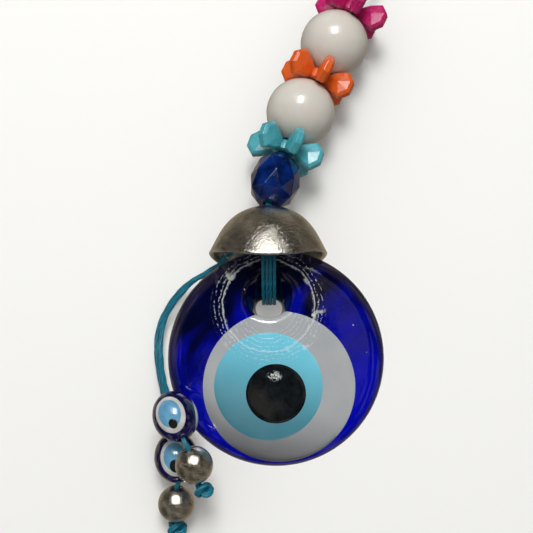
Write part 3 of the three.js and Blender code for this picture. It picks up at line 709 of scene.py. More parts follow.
# The ripples fade in past the inner distance and out before the outer one.
past = math_node(ripples, "ADD", taken["Inner"], 0.7)
short = math_node(ripples, "SUBTRACT", taken["Outer"], 1.4)
inside = ramp_node(ripples, distance, taken["Inner"], past)
outside = ramp_node(ripples, distance, taken["Outer"], short)
window = math_node(ripples, "MULTIPLY", inside, outside)
line = math_node(ripples, "MULTIPLY", ripples_and_glints, window)
for label, value in (("Flat", flat), ("Line", line), ("Distance", distance)):
    ripples.links.new(value, given.inputs[label])


def rippled(tree, inner, outer):
    place = add(tree, "ShaderNodeTexCoord").outputs["Object"]
    inputs = {"Vector": place, "Inner": inner, "Outer": outer}
    return add(tree, "ShaderNodeGroup", inputs, node_tree=ripples).outputs


print("ripples nodes:", len(ripples.nodes))

# %% [markdown]
# Cobalt glass is deep blue, with streaks. Its top, under the cap, is painted darker as shade, and
# its right side and the sides of the hole are painted brighter, as light through the glass. Clear
# glass alone would go black wherever no light gets under it, so half of the look is glass that
# bends the table's light, and half is a colour that scatters inside. That colour is mixed from
# near black to bright by one number. The painted shade and light by place and the streaks add up
# to it.

# %% Cobalt glass
# The first colour is the glass in painted shade and the second is the glass in painted light. On the next line, the
# first is the rim's painted shade, the second the bubbles' own colour and the last the ripples' painted highlight.
SHADED_COBALT, COBALT = (0.0002, 0.0010, 0.026, 1), (0.0002, 0.003, 0.46, 1)
PAINTED_RIM_SHADE, SPECK, PAINTED_GLINT = (0.028, 0.021, 0.052, 1), (0.75, 0.5, 0.62, 1), (0.80, 0.84, 0.76, 1)
BORE = (1.5, -13.2, 0)  # from the middle of the bore to the middle of the eye, mm
settings = {"IOR": 1.5, "Transmission_Weight": 0.5, "Coat_Weight": 0.2, "Coat_Roughness": 0.02}
cobalt_glass, tree, shader = finish("cobalt_glass", **settings)
flat, line, distance = rippled(tree, 9.2, 12.9)
x, y, _ = add(tree, "ShaderNodeSeparateXYZ", {0: flat}).outputs

# The streaks are noise, stretched along one slanting way across the disc.
slanted = {0: flat, "Rotation": (0, 0, math.radians(-50)), "Scale": (0.05, 0.05, 0.05)}
laid = add(tree, "ShaderNodeMapping", slanted).outputs[0]
streaks = noise(tree, vector_node(tree, "MULTIPLY", laid, (1, 3, 1)), 1.0, 4.0, Distortion=0.6)

# Painted shade and light by place: darker towards the top, as the cap's shade, and brighter to the right and beside
# the hole, as light through the glass. It is darkest round the bore, as its shade. The streaks add the glass's own
# uneven tone.
painted_light_and_streaks = math_node(tree, "MULTIPLY_ADD", y, -0.034, 0.60)
painted_light_and_streaks = math_node(tree, "MULTIPLY_ADD", x, 0.008, painted_light_and_streaks)
painted_light_and_streaks = math_node(tree, "ADD", painted_light_and_streaks, ramp_node(tree, streaks, 0.3, 0.7, -0.42, 0.42))
near_hole = ramp_node(tree, distance, 9.0, 6.5, 0.0, 0.6)
painted_hole_light = math_node(tree, "MULTIPLY", near_hole, ramp_node(tree, y, 18.0, 12.5))
painted_light_and_streaks = math_node(tree, "ADD", painted_light_and_streaks, painted_hole_light)
bore = length_node(tree, vector_node(tree, "MULTIPLY", vector_node(tree, "ADD", flat, BORE), (1, 1, 0)))
painted_light_and_streaks = math_node(tree, "ADD", painted_light_and_streaks, ramp_node(tree, bore, 6.2, 4.6, 0.0, -1.0), clamp=True)
blue = mixed(tree, painted_light_and_streaks, SHADED_COBALT, COBALT)

# The rim is a painted dull band, shade where the rounded edge turns away, and its inner side wanders. A few bubbles
# show as pale specks.
out = length_node(tree, vector_node(tree, "MULTIPLY", flat, (1, 1, 0)))
out = math_node(tree, "MULTIPLY_ADD", streaks, 0.8, out)
out = math_node(tree, "MULTIPLY_ADD", x, -0.018, math_node(tree, "MULTIPLY_ADD", y, 0.022, out))
edged = mixed(tree, ramp_node(tree, out, 22.2, 23.2, 0.0, 0.9), blue, PAINTED_RIM_SHADE)
cells = add(tree, "ShaderNodeTexVoronoi", {"Vector": flat, "Scale": 0.21}).outputs["Distance"]
specked = mixed(tree, ramp_node(tree, cells, 0.05, 0.03), edged, SPECK)
# The ripples' bright dashes are painted on in a pale colour, as a painted highlight.
marked = mixed(tree, math_node(tree, "MULTIPLY", line, 0.9), specked, PAINTED_GLINT)
tree.links.new(marked, shader.inputs["Base Color"])

place = add(tree, "ShaderNodeTexCoord").outputs["Object"]
wears = {"Vector": place, "Smooth": 0.03, "Rough": 0.10, "Size": 8.0, "Speck": 1.2}
worn = add(tree, "ShaderNodeGroup", wears, node_tree=wear)
tree.links.new(worn.outputs["Roughness"], shader.inputs["Roughness"])
raised_line = math_node(tree, "MULTIPLY", line, 0.6)
grain = math_node(tree, "MULTIPLY", worn.outputs["Height"], 0.25)
raised(tree, shader, math_node(tree, "ADD", raised_line, grain), 0.4, 0.2)
print("cobalt glass nodes:", len(tree.nodes))

# %% [markdown]
# The white and the light blue are opaque glass. On the real eye the ripples run on over them, and
# their glints are painted on as a pale haze, a painted highlight. Each drop is painted darker down
# the disc and a little to the left, as shade away from the light. One function makes both, so the
# haze lines up where the drops meet. The black drop has creases near its top, where it wrinkled as
# it cooled, and the light's glint on them is painted on as pale lines.

# %% Opaque glass
PAINTED_HAZE = (0.80, 0.84, 0.86, 1)


def opaque_glass(name, deep, pale, low, high, painted_haze_share, **settings):
    """A drop's finish: painted shade from deep to pale between two heights on the disc, with the ripples' painted
    highlight as a haze.
    """
    parts = finish(name, Coat_Weight=0.8, Coat_Roughness=0.03, **settings)
    material, tree, shader = parts
    varied(parts, (0.88, 0.9, 0.93), (1.0, 1.0, 1.0), 9.0, smooth=0.1, rough=0.2, wear_size=6.0, speck=1.2)
    tint = shader.inputs["Base Color"].links[0].from_socket
    flat, line, _ = rippled(tree, 5.6, 13.4)
    x, y, _ = add(tree, "ShaderNodeSeparateXYZ", {0: flat}).outputs
    # Painted shade: darker down the disc and a little to the left.
    slant = math_node(tree, "MULTIPLY_ADD", x, 0.25, y)
    shade = mixed(tree, ramp_node(tree, slant, low, high), (*deep, 1), (*pale, 1))
    tinted = mixed(tree, 1.0, shade, tint, "MULTIPLY")
    # The ripples' painted highlight, laid on as a pale haze.
    near = math_node(tree, "MULTIPLY", line, painted_haze_share)
    tree.links.new(mixed(tree, near, tinted, PAINTED_HAZE), shader.inputs["Base Color"])
    raised(tree, shader, line, 0.35, 0.12)
    return material


milky = {"Subsurface_Weight": 0.1, "Subsurface_Scale": 0.5 * MM}
# Each drop's colour in painted shade and in painted light, and the heights between which one turns into the other.
whites = (0.105, 0.105, 0.11), (0.44, 0.45, 0.46)
white_glass = opaque_glass("white_glass", *whites, -26.0, -7.0, 0.45, **milky)
blues = (0.07, 0.235, 0.30), (0.19, 0.64, 0.80)
light_blue_glass = opaque_glass("light_blue_glass", *blues, -17.0, 6.0, 0.34)

CREASE_GLINT_SPOT = (0.3, 3.3, -8.1)  # from the creases to the middle of the eye, mm
black_parts = finish("black_glass", Coat_Weight=0.7, Coat_Roughness=0.06)
gloss = {"smooth": 0.16, "rough": 0.3, "wear_size": 2.0, "speck": 0.9, "bump": 0.25, "depth": 0.2}
black_glass = varied(black_parts, (0.001, 0.0015, 0.003), (0.004, 0.008, 0.012), 2.0, **gloss)
_, tree, shader = black_parts
flat = rippled(tree, 0, 1)["Flat"]
# Pale lines on the creases near the top are a painted highlight, the light's glint on the wrinkles.
folds = noise(tree, flat, 0.85, 3.0, Distortion=1.2)
from_fold = math_node(tree, "ABSOLUTE", math_node(tree, "SUBTRACT", folds, 0.5))
crease_glint_lines = ramp_node(tree, from_fold, 0.045, 0.015)
spot = vector_node(tree, "MULTIPLY", vector_node(tree, "ADD", flat, CREASE_GLINT_SPOT), (0.9, 1.3, 0.0))
near = ramp_node(tree, length_node(tree, spot), 1.7, 1.0)
under = shader.inputs["Base Color"].links[0].from_socket
painted_crease_glints = mixed(tree, math_node(tree, "MULTIPLY", crease_glint_lines, near), under, (0.62, 0.66, 0.62, 1))
tree.links.new(painted_crease_glints, shader.inputs["Base Color"])
print("opaque finishes:", white_glass.name, light_blue_glass.name, black_glass.name)

# %% [markdown]
# The glass body is one skin that runs up the wall of the hole, out across the front, round the
# edge and back under. Each row of points lies on rays that leave the middle of the hole, so the
# rows change little by little from the hole's circle to the rim's. A disc with a hole cut by a
# boolean would have a hard, creased mouth, and this one has the soft lip of pierced glass.

# %% Glass body of the eye
FLAT, EDGE, EDGE_HEIGHT, SHOULDER, CROWN = 19.8, 4.2, 3.4, 7.2, 8.4
HOLE = Vector((-1.5, 14.2))
LEAN = math.tan(math.radians(30))
# The mouth: distance from the hole's middle and how far the lip has sunk there.
LIP = [
    (6.6, 0.0), (6.1, 0.05), (5.6, 0.22), (5.2, 0.5), (4.85, 0.95), (4.4, 1.8), (3.9, 2.9), (3.4, 4.0),
    (3.0, 5.0),
]
# The way out at the back: the hole's radius and the height over the back.
BACK_OF_HOLE = [(3.75, 0.0), (3.45, 0.12), (3.2, 0.5), (3.0, 1.4), (2.95, 2.4)]
RAYS, FRONT_STEPS, BACK_STEPS = 200, 16, 8


def dome(r):
    return CROWN - (CROWN - SHOULDER) * (r / FLAT) ** 2


def front(r):
    """Height of the glass over its back at this distance from the middle of the disc."""
    if r <= FLAT:
        return dome(r)
    return EDGE_HEIGHT + (SHOULDER - EDGE_HEIGHT) * math.sqrt(max(0.0, 1 - ((r - FLAT) / EDGE) ** 2))


def sunk(distance):
    """How far the front has sunk at this distance from the middle of the hole."""
    if distance >= LIP[0][0]:
        return 0.0
    for (outer, shallow), (inner, deep) in zip(LIP, LIP[1:]):
        if distance >= inner:
            return shallow + (deep - shallow) * (outer - distance) / (outer - inner)
    return LIP[-1][1]


mouth_height = dome(HOLE.y)


def hole_middle(height):
    return Vector((HOLE.x, HOLE.y - (mouth_height - height) * LEAN))


def reach_to_circle(origin, way, radius):
    half = origin.dot(way)
    return -half + math.sqrt(half * half - origin.dot(origin) + radius * radius)


def glass_row(way):
    """The closed row of points on one ray, from the back of the hole round to it again."""
    row = []
    for radius, height in BACK_OF_HOLE:
        row.append((hole_middle(height) + way * radius, height))
    for radius, drop in reversed(LIP[1:]):
        height = mouth_height - drop
        row.append((hole_middle(height) + way * radius, height))
    start = HOLE + way * LIP[0][0]
    end = HOLE + way * reach_to_circle(HOLE, way, FLAT)
    for i in range(FRONT_STEPS + 1):
        at = start.lerp(end, i / FRONT_STEPS)
        row.append((at, dome(at.length)))
    over = arc(FLAT, EDGE_HEIGHT, EDGE, SHOULDER - EDGE_HEIGHT, 90, 0, 10)
    under = arc(FLAT, EDGE_HEIGHT, EDGE, EDGE_HEIGHT, 0, -90, 10)
    for r, z in over[1:] + under[1:]:
        row.append((HOLE + way * reach_to_circle(HOLE, way, r), z))
    start, end = row[-1][0], hole_middle(0) + way * BACK_OF_HOLE[0][0]
    for i in range(1, BACK_STEPS):
        row.append((start.lerp(end, i / BACK_STEPS), 0.0))
    return row


verts, faces = [], []
for i in range(RAYS):
    a = 2 * math.pi * i / RAYS
    row = glass_row(Vector((math.cos(a), math.sin(a))))
    verts += [(at.x * MM, at.y * MM, z * MM) for at, z in row]
count = len(row)
for i in range(RAYS):
    here, there = i * count, (i + 1) % RAYS * count
    for k in range(count):
        m = (k + 1) % count
        faces.append((here + k, there + k, there + m, here + m))
tip_eye = Matrix.Rotation(EYE_TILT, 4, "X")
glass = outward(from_lists("eye_glass", verts, faces), 60)
settle(glass, tip_eye, "eye", ["glass_eye"], "cobalt_glass", cobalt_glass)
glass.visible_shadow = glass.visible_diffuse = False
print("glass body faces:", len(glass.data.polygons))

# %% [markdown]
# The white, the light blue and the black are drops of opaque glass, pressed on one after the
# other while hot, so each lies almost level with the one below and its edge rolls under. A drop
# is a polar net laid on the front surface. Where the white one meets the hole, its points are
# kept off the hole's middle and sink with the lip.

# %% Layers of the eye
DROP_RINGS, DROP_SEGMENTS = 26, 120
KEPT_OFF = 5.0  # no drop comes nearer to the hole's middle than this, mm
ROOT = 1.0  # how deep a drop's edge goes into the glass under it, mm


def net_faces(rings, segments, top, bottom):
    """Faces of a polar net whose rows of points run outwards from `top` and end round `bottom`."""
    faces = []
    for row in range(rings):
        for k in range(segments):
            m = (k + 1) % segments
            here, there = row * segments, (row + 1) * segments
            faces.append((here + k, there + k, there + m, here + m))
    for k in range(segments):
        m = (k + 1) % segments
        faces.append((top, k, m))
        faces.append((bottom, rings * segments + m, rings * segments + k))
    return faces


def drop(name, centre, radius, lift, bulge):
    verts = []
    middle_of_drop = Vector(centre)
    for ring in range(1, DROP_RINGS + 1):
        share = ring / DROP_RINGS
        for k in range(DROP_SEGMENTS):
            a = 2 * math.pi * k / DROP_SEGMENTS
            at = middle_of_drop + Vector((math.cos(a), math.sin(a))) * radius * share
            off = at - HOLE
            if off.length < KEPT_OFF:
                at = HOLE + off.normalized() * KEPT_OFF
            rise = lift * math.sqrt(max(0.0, 1 - share ** 10)) + bulge * (1 - share ** 2)
            z = front(at.length) - sunk((at - HOLE).length) + rise
            verts.append((at.x * MM, at.y * MM, z * MM))
    verts += [(x, y, z - ROOT * MM) for x, y, z in verts[-DROP_SEGMENTS:]]
    height = front(middle_of_drop.length)
    for z in (height + lift + bulge, height - 1.2 * ROOT):
        verts.append((centre[0] * MM, centre[1] * MM, z * MM))
    faces = net_faces(DROP_RINGS, DROP_SEGMENTS, len(verts) - 2, len(verts) - 1)
    return outward(from_lists(name, verts, faces), 70)


# Each drop: its CAD node, middle, radius, how proud it stands, how it crowns, and its finish.
for colour, node, centre, radius, lift, bulge, material in (
    ("white", "eye_white", (0.7, -5.9), 16.6, 0.10, 0.0, white_glass),
    ("light_blue", "eye_light_blue", (-1.6, -5.7), 12.25, 0.18, 0.0, light_blue_glass),
    ("black", "eye_pupil", (0, -7.2), 6.9, 0.26, 0.12, black_glass),
):
    layer = drop(colour + "_layer", centre, radius, lift, bulge)
    settle(layer, tip_eye, "eye", [node], colour + "_glass", material)
    layer.visible_shadow = layer.visible_diffuse = False
    print(layer.name, "faces:", len(layer.data.polygons))

# %% [markdown]
# The cap is thin stamped metal, plated and polished over a slightly pebbled surface. It is
# turned from a smooth outline, and then its rim is pulled down at the front and the back, so it
# has the saddle shape that lets two petals of metal hold the eye between them.

# %% Polished metal and the bead cap
metal_parts = finish("polished_metal", Metallic=1.0)
pebbled = {"smooth": 0.1, "rough": 0.26, "wear_size": 2.5, "speck": 0.34, "bump": 1.0, "depth": 0.11}
polished_metal = varied(metal_parts, (0.62, 0.58, 0.50), (0.86, 0.83, 0.76), 3.0, **pebbled)

CAP_RADIUS, CAP_HEIGHT, CAP_WALL, CAP_BORE, LIP_DROP = 13.1, 10.7, 0.7, 1.35, 2.8
# Shares of the radius and of the height, from the rim up to the bore.
CAP_OUTLINE = [
    (1, 0), (0.955, 0.12), (0.895, 0.27), (0.8, 0.48), (0.69, 0.66), (0.55, 0.81), (0.38, 0.92),
    (0.18, 1),
]
curve = smooth_route([(r * CAP_RADIUS, y * CAP_HEIGHT, 0) for r, y in CAP_OUTLINE], 0.6)
outside = [(p.x / MM, p.y / MM) for p in curve]
inner_share = 1 - CAP_WALL / CAP_RADIUS
inside = [(max(r * inner_share, CAP_BORE), max(y - CAP_WALL, 0.0)) for r, y in outside]
rim = arc(CAP_RADIUS - CAP_WALL / 2, 0.1, CAP_WALL / 2, 0.32, 180, 360, 6)
bore = [(CAP_BORE + 0.1, CAP_HEIGHT), (CAP_BORE, CAP_HEIGHT - 0.15)]
cap = turned_mesh("bead_cap_shell", outside[1:] + bore + inside[:0:-1] + rim, 160)
for v in cap.data.vertices:
    x, y, z = v.co / MM
    below = min(max(0.0, 1 - y / CAP_HEIGHT), 1.0)
    v.co.y -= LIP_DROP * below ** 2 * z * z / (x * x + z * z) * MM
cap_low, cap_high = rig.box("bead_cap")
cap_middle = (Vector(cap_low) + Vector(cap_high)) / 2
cap_place = Matrix.Translation((cap_middle.x, cap_high[1] - CAP_HEIGHT * MM, cap_middle.z))
settle(outward(cap, 50), cap_place, "cap", ["bead_cap"], "polished_metal", polished_metal)
print("cap faces:", len(cap.data.polygons))

# %% [markdown]
# The two big round beads are moulded, ivory coloured plastic with a soft, waxy gleam, and the
# two small ones are plated. A ball with a hole cut in it would have a knife edge there, so each
# outline has a small roll where the bore leaves it, and is then turned about the bore.

# %% Round beads
waxy = {"Subsurface_Weight": 0.12, "Subsurface_Scale": 1.2 * MM}
ivory_parts = finish("ivory_plastic", Coat_Weight=0.35, Coat_Roughness=0.12, **waxy)
gloss = {"smooth": 0.12, "rough": 0.2, "wear_size": 6.0, "speck": 2.5, "bump": 0.04, "depth": 0.1}
ivory_plastic = varied(ivory_parts, (0.61, 0.57, 0.51), (0.66, 0.62, 0.56), 9.0, **gloss)

BALL_RADIUS, SILVER_RADIUS, STRAND_BORE, TAIL_BORE = 8, 4, 1.55, 1.1


def bored_outline(radius, half_length, bore, steps=40):
    """A round bead's closed outline, with a small roll where the bore leaves it."""
    edge = math.degrees(math.acos((bore + 0.25) / radius))
    skin = arc(0, 0, radius, half_length, -edge, edge, steps)
    top = skin[-1][1]
    roll = [(bore + 0.08, top - 0.02), (bore, top - 0.2)]
    return skin + roll + [(r, -height) for r, height in reversed(roll)]


def along(start, end):
    return (Vector(end) - Vector(start)).normalized()


# A bead's bore points the way its cord runs there. On the strand that is the way from the bead
# before it to the one after it. The faceted bead and the beads of the tails sit on a straight
# stretch of four points of their own route, the last eight points of each tail being two such.
STRAND = ["faceted_bead", "flower_turquoise", "white_bead_lower", "flower_orange"]
STRAND += ["white_bead_upper", "flower_magenta"]
places = [middle(node) for node in STRAND]
WAYS = {node: along(*ends) for node, ends in zip(STRAND[1:], zip(places, places[2:] + places[-1:]))}
strand_start = STRAND_ROUTES["strand_lower"][1]
WAYS["faceted_bead"] = along(strand_start[2], strand_start[5])
for side, route in (("a", TAIL_A_ROUTE), ("b", TAIL_B_ROUTE)):
    WAYS["small_eye_bead_" + side] = along(route[-8], route[-5])
    WAYS["silver_bead_" + side] = along(route[-4], route[-1])
for node, body in (("white_bead_lower", "lower_ball"), ("white_bead_upper", "upper_ball")):
    ball = turned_mesh(node + "_moulded", bored_outline(BALL_RADIUS, BALL_RADIUS, STRAND_BORE, 64), 128)
    settle(ball, threaded(node, WAYS[node]), body, [node], "ivory_plastic", ivory_plastic)
for side in "ab":
    node = "silver_bead_" + side
    plated = turned_mesh(node + "_plated", bored_outline(SILVER_RADIUS, SILVER_RADIUS, TAIL_BORE, 40), 80)
    settle(plated, threaded(node, WAYS[node]), "silver_" + side, [node], "polished_metal", polished_metal)
print("round bead faces:", len(ball.data.polygons), "and", len(plated.data.polygons))

# %% [markdown]
# The faceted bead is clear blue plastic, moulded to look like cut glass. Its corners are three
# rings of eight, the middle ones turned by half a step, and the hull round them has the flat
# triangles of such a cut without a face being drawn by hand. Its bore is a real tube, cut
# through by a boolean, because the cord can be seen inside.

# %% Faceted bead
acrylic = {"IOR": 1.49, "Transmission_Weight": 0.4, "Coat_Weight": 0.5, "Coat_Roughness": 0.02}
acrylic_parts = finish("blue_acrylic", **acrylic)
gloss = {"smooth": 0.04, "rough": 0.12, "wear_size": 2.0, "speck": 0.4, "bump": 0.05}
blue_acrylic = varied(acrylic_parts, (0.0, 0.005, 0.045), (0.002, 0.035, 0.26), 3.0, **gloss)


def hull_of(name, points):
    shape = bmesh.new()
    for p in points:
        shape.verts.new(Vector(p) * MM)
    bmesh.ops.convex_hull(shape, input=shape.verts)
    bmesh.ops.dissolve_limit(shape, angle_limit=math.radians(2), verts=shape.verts, edges=shape.edges)
    mesh = bpy.data.meshes.new(name)
    shape.to_mesh(mesh)
    shape.free()
    return shown(name, mesh)


def bevelled(piece, width, steps=2):
    bevel = piece.modifiers.new("bevel", "BEVEL")
    bevel.width, bevel.segments, bevel.limit_method = width * MM, steps, "ANGLE"
    bevel.angle_limit = math.radians(8)
    return plain_mesh(piece)


def drilled(piece, radius, length):
    end, core = length / 2, 0.001
    tool = turned_mesh("drill", [(core, -end), (radius, -end), (radius, end), (core, end)], 40)
    cut = piece.modifiers.new("bore", "BOOLEAN")
    cut.object, cut.operation, cut.solver = tool, "DIFFERENCE", "EXACT"
    made = plain_mesh(piece)
    bpy.data.objects.remove(tool)
    return made


# Rings of corners: height from the middle, radius, and turn as a share of one step.
CUT_HALF, CUT_RADIUS, CUT_END = 6.3, 5.8, 2.7
CUT_RINGS = ((0, CUT_RADIUS, 0), (0.62 * CUT_HALF, 0.86 * CUT_RADIUS, 0.5), (CUT_HALF, CUT_END, 0))
corners = []
for height, width, turn in CUT_RINGS:
    for sign in ((-1, 1) if height else (1,)):
        for k in range(8):
            a = (k + turn) * math.pi / 4
            corners.append((width * math.cos(a), sign * height, width * math.sin(a)))
faceted = drilled(bevelled(hull_of("faceted_bead_cut", corners), 0.14), 1.3, 20)
faceted.data.shade_flat()
faceted_place = threaded("faceted_bead", WAYS["faceted_bead"])
settle(faceted, faceted_place, "faceted", ["faceted_bead"], "blue_acrylic", blue_acrylic)
print("faceted bead faces:", len(faceted.data.polygons))

# %% [markdown]
# A flower bead is a hub with six petals. The petals repeat, so Geometry Nodes places them: one
# point per petal on the bead's axis, each with a copy of the petal turned round it, and the
# finish set at the end. Modelling one petal well and letting the tree place it keeps all
# eighteen alike, as they are when they leave one mould.

# %% Petal tree
petals, taken, given = new_tree(
    "petals_round_a_hub", "GeometryNodeTree",
    [("Geometry", "Geometry", None), ("Petal", "Object", None), ("Count", "Int", 6),
     ("Material", "Material", None)],
    [("Geometry", "Geometry")],
)
step = math_node(petals, "DIVIDE", 2 * math.pi, taken["Count"])
places = add(petals, "GeometryNodeMeshLine", {"Count": taken["Count"], "Offset": (0, 0, 0)}).outputs[0]
number = add(petals, "GeometryNodeInputIndex").outputs[0]
heading = add(petals, "ShaderNodeCombineXYZ", {"Y": math_node(petals, "MULTIPLY", number, step)}).outputs[0]
petal_shape = add(petals, "GeometryNodeObjectInfo", {"Object": taken["Petal"]}).outputs["Geometry"]
each = {"Points": places, "Instance": petal_shape, "Rotation": heading}
copies = add(petals, "GeometryNodeInstanceOnPoints", each).outputs[0]
joined = add(petals, "GeometryNodeJoinGeometry")
petals.links.new(taken["Geometry"], joined.inputs[0])
petals.links.new(copies, joined.inputs[0])
real = add(petals, "GeometryNodeRealizeInstances", {"Geometry": joined.outputs[0]}).outputs[0]
done = add(petals, "GeometryNodeSetMaterial", {"Geometry": real, "Material": taken["Material"]}).outputs[0]
petals.links.new(done, given.inputs["Geometry"])
print("petal tree nodes:", len(petals.nodes))

# %% [markdown]
# One petal is a thick eight-sided plate with cut edges, a little narrower at its root, and each
# of its flat sides rises to a point in the middle. The hull of its corners gives the cuts, and
# a fine bevel takes the sharpness off them, as it does on any moulded edge. The three flowers
# differ in colour and in how far each is turned on the cord.

# %% Flowers
FLOWER_RADIUS, PETAL_WIDTH, PETAL_THICKNESS = 9.0, 6.8, 3.0
SIDE, CUT_HEIGHT, CUT_SHARE, ROOT_SHARE = 0.22, 0.4, 0.8, 0.72
petal_middle = FLOWER_RADIUS - PETAL_WIDTH / 2
reach = PETAL_WIDTH / 2 / math.cos(math.pi / 8)
corners = []
for k in range(8):
    a = (k + 0.5) * math.pi / 4
    narrowing = ROOT_SHARE if math.cos(a) < 0 else 1
    x, y = reach * math.cos(a), reach * math.sin(a) * narrowing
    for sign in (-1, 1):
        corners.append((petal_middle + x, y, sign * PETAL_THICKNESS * SIDE))
        corners.append((petal_middle + x * CUT_SHARE, y * CUT_SHARE, sign * PETAL_THICKNESS * CUT_HEIGHT))
corners += [(petal_middle, 0, PETAL_THICKNESS / 2), (petal_middle, 0, -PETAL_THICKNESS / 2)]
petal = outward(bevelled(hull_of("petal", corners), 0.12), 4)
hub_outline = [(1.55, -1.3), (2.7, -1.3), (3.05, -1.05), (3.15, 0), (3.05, 1.05), (2.7, 1.3), (1.55, 1.3)]
# Each flower: its colour where it is deep and where it is pale, and its turn on the cord.
PLASTICS = {
    "turquoise": ((0.045, 0.29, 0.34), (0.085, 0.42, 0.48), math.radians(20)),
    "orange": ((0.60, 0.085, 0.008), (0.78, 0.125, 0.014), math.radians(15)),
    "magenta": ((0.40, 0.008, 0.10), (0.56, 0.014, 0.15), math.radians(15)),
}
gloss = {"smooth": 0.2, "rough": 0.34, "wear_size": 3.0, "speck": 1.2, "bump": 0.1, "depth": 0.08}
waxy = {"Subsurface_Weight": 0.1, "Subsurface_Scale": 0.8 * MM}
for colour, (deep, pale, turn) in PLASTICS.items():
    parts = finish(colour + "_plastic", Coat_Weight=0.35, Coat_Roughness=0.15, **waxy)
    plastic = varied(parts, deep, pale, 6.0, **gloss)
    hub = turned_mesh("hub_" + colour, hub_outline, 60)
    flower = dressed_by(petals, hub, Petal=petal, Count=6, Material=plastic)
    node = "flower_" + colour
    flower.name = node + "_moulded"
    place = threaded(node, WAYS[node], turn - math.pi / 2)
    settle(flower, place, colour + "_flower", [node], colour + "_plastic")
    print(flower.name, "faces:", len(flower.data.polygons))
bpy.data.objects.remove(petal)

# %% [markdown]
# The small beads are barrel shaped, of glass so dark that it looks black away from the light.
# Three eyes sit round each one. Each eye is an oval of white with a light blue oval on it, and a
# black dot that sits low, towards the far end of the tail. An oval is a polar net lifted on to
# the barrel, with its edge rolled in.

# %% Small eye beads
navy_parts = finish("navy_glass", Coat_Weight=1.0, Coat_Roughness=0.03)
gloss = {"smooth": 0.05, "rough": 0.14, "wear_size": 2.0, "speck": 0.4, "bump": 0.08}
navy_glass = varied(navy_parts, (0.002, 0.002, 0.02), (0.008, 0.006, 0.10), 4.0, **gloss)
milk_parts = finish("milk_glass", Coat_Weight=0.8, Coat_Roughness=0.05)
gloss = {"smooth": 0.14, "rough": 0.25, "bump": 0.05}
milk_glass = varied(milk_parts, (0.50, 0.50, 0.48), (0.66, 0.65, 0.62), 2.0, **gloss)
sky_parts = finish("sky_glass", Coat_Weight=0.9, Coat_Roughness=0.04)
gloss = {"smooth": 0.1, "rough": 0.2, "bump": 0.05}
sky_glass = varied(sky_parts, (0.09, 0.27, 0.45), (0.15, 0.37, 0.56), 2.0, **gloss)
dot_parts = finish("black_dot", Coat_Weight=0.6, Coat_Roughness=0.1)
gloss = {"smooth": 0.3, "rough": 0.5, "wear_size": 1.0, "speck": 0.3, "bump": 0.1}
dot_glass = varied(dot_parts, (0.002, 0.002, 0.003), (0.006, 0.007, 0.009), 1.0, **gloss)

BEAD_RADIUS, BEAD_HALF = 4.8, 5.6
OVAL_RINGS, OVAL_SEGMENTS = 10, 48


def on_barrel(x, y, rise):
    """The point over (x, y) that stands `rise` proud of the barrel's skin."""
    z = BEAD_RADIUS * math.sqrt(max(0.0, 1 - (x / BEAD_RADIUS) ** 2 - (y / BEAD_HALF) ** 2))
    lean = Vector((x / BEAD_RADIUS ** 2, y / BEAD_HALF ** 2, z / BEAD_RADIUS ** 2)).normalized()
    return (Vector((x, y, z)) + lean * rise) * MM


def oval(name, shift, half_wide, half_long, lift):
    rows = []
    for ring in range(1, OVAL_RINGS + 1):
        share = ring / OVAL_RINGS
        rows.append((share, lift * math.sqrt(max(0.0, 1 - share ** 8))))
    rows.append((1, -0.4))
    verts = []
    for share, rise in rows:
        for k in range(OVAL_SEGMENTS):
            a = 2 * math.pi * k / OVAL_SEGMENTS
            x, y = half_wide * share * math.cos(a), shift + half_long * share * math.sin(a)
            verts.append(on_barrel(x, y, rise))
    verts += [on_barrel(0, shift, lift), on_barrel(0, shift, -0.6)]
    faces = net_faces(OVAL_RINGS, OVAL_SEGMENTS, len(verts) - 2, len(verts) - 1)
    return outward(from_lists(name, verts, faces), 70)


def layers_of(dot):
    """Each layer: how far up its middle is, its half width and length, its height and finish."""
    return (
        ("white", 0.6, 3.15, 3.95, 0.05, "white_glass", milk_glass),
        ("blue", 0.5, 2.55, 3.2, 0.09, "light_blue_glass", sky_glass),
        ("pupil", 3.75 - dot, dot, dot * 1.05, 0.15, "black_glass", dot_glass),
    )


# Each bead: its turn on the cord and the radius of its dots.
for side, turn, dot in (("a", math.radians(7), 0.95), ("b", math.radians(-2), 1.35)):
    node = "small_eye_bead_" + side
    body = "eye_bead_" + side
    barrel = turned_mesh(node + "_barrel", bored_outline(BEAD_RADIUS, BEAD_HALF, TAIL_BORE, 44), 96)
    settle(barrel, threaded(node, WAYS[node], turn), body, [node], "cobalt_glass", navy_glass)
    for k in range(3):
        place = threaded(node, WAYS[node], turn + 2 * math.pi * k / 3)
        for part, shift, wide, long, lift, slot, material in layers_of(dot):
            eye = oval(f"bead_{side}_eye_{k + 1}_{part}", shift, wide, long, lift)
            settle(eye, place, body, [f"{node}_eye_{k + 1}_{part}"], slot, material)
    print(node, "faces:", len(barrel.data.polygons), "and each oval:", len(eye.data.polygons))

# %% [markdown]
# The three loose cords are declared with their real lengths, routes and thickness. The tails end
# in knots, with a small eye bead and a silver bead held above each. The hanging loop leaves the
# end knot and comes back into it.

for piece, body, node in (
    (tail_a, "tail_a", "tail_cord_a"),
    (tail_b, "tail_b", "tail_cord_b"),
    (hanging, "loop", "hanging_loop"),
):
    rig.ride(piece, body)
    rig.replaces(piece, node)
    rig.slot(piece, "teal_cord")

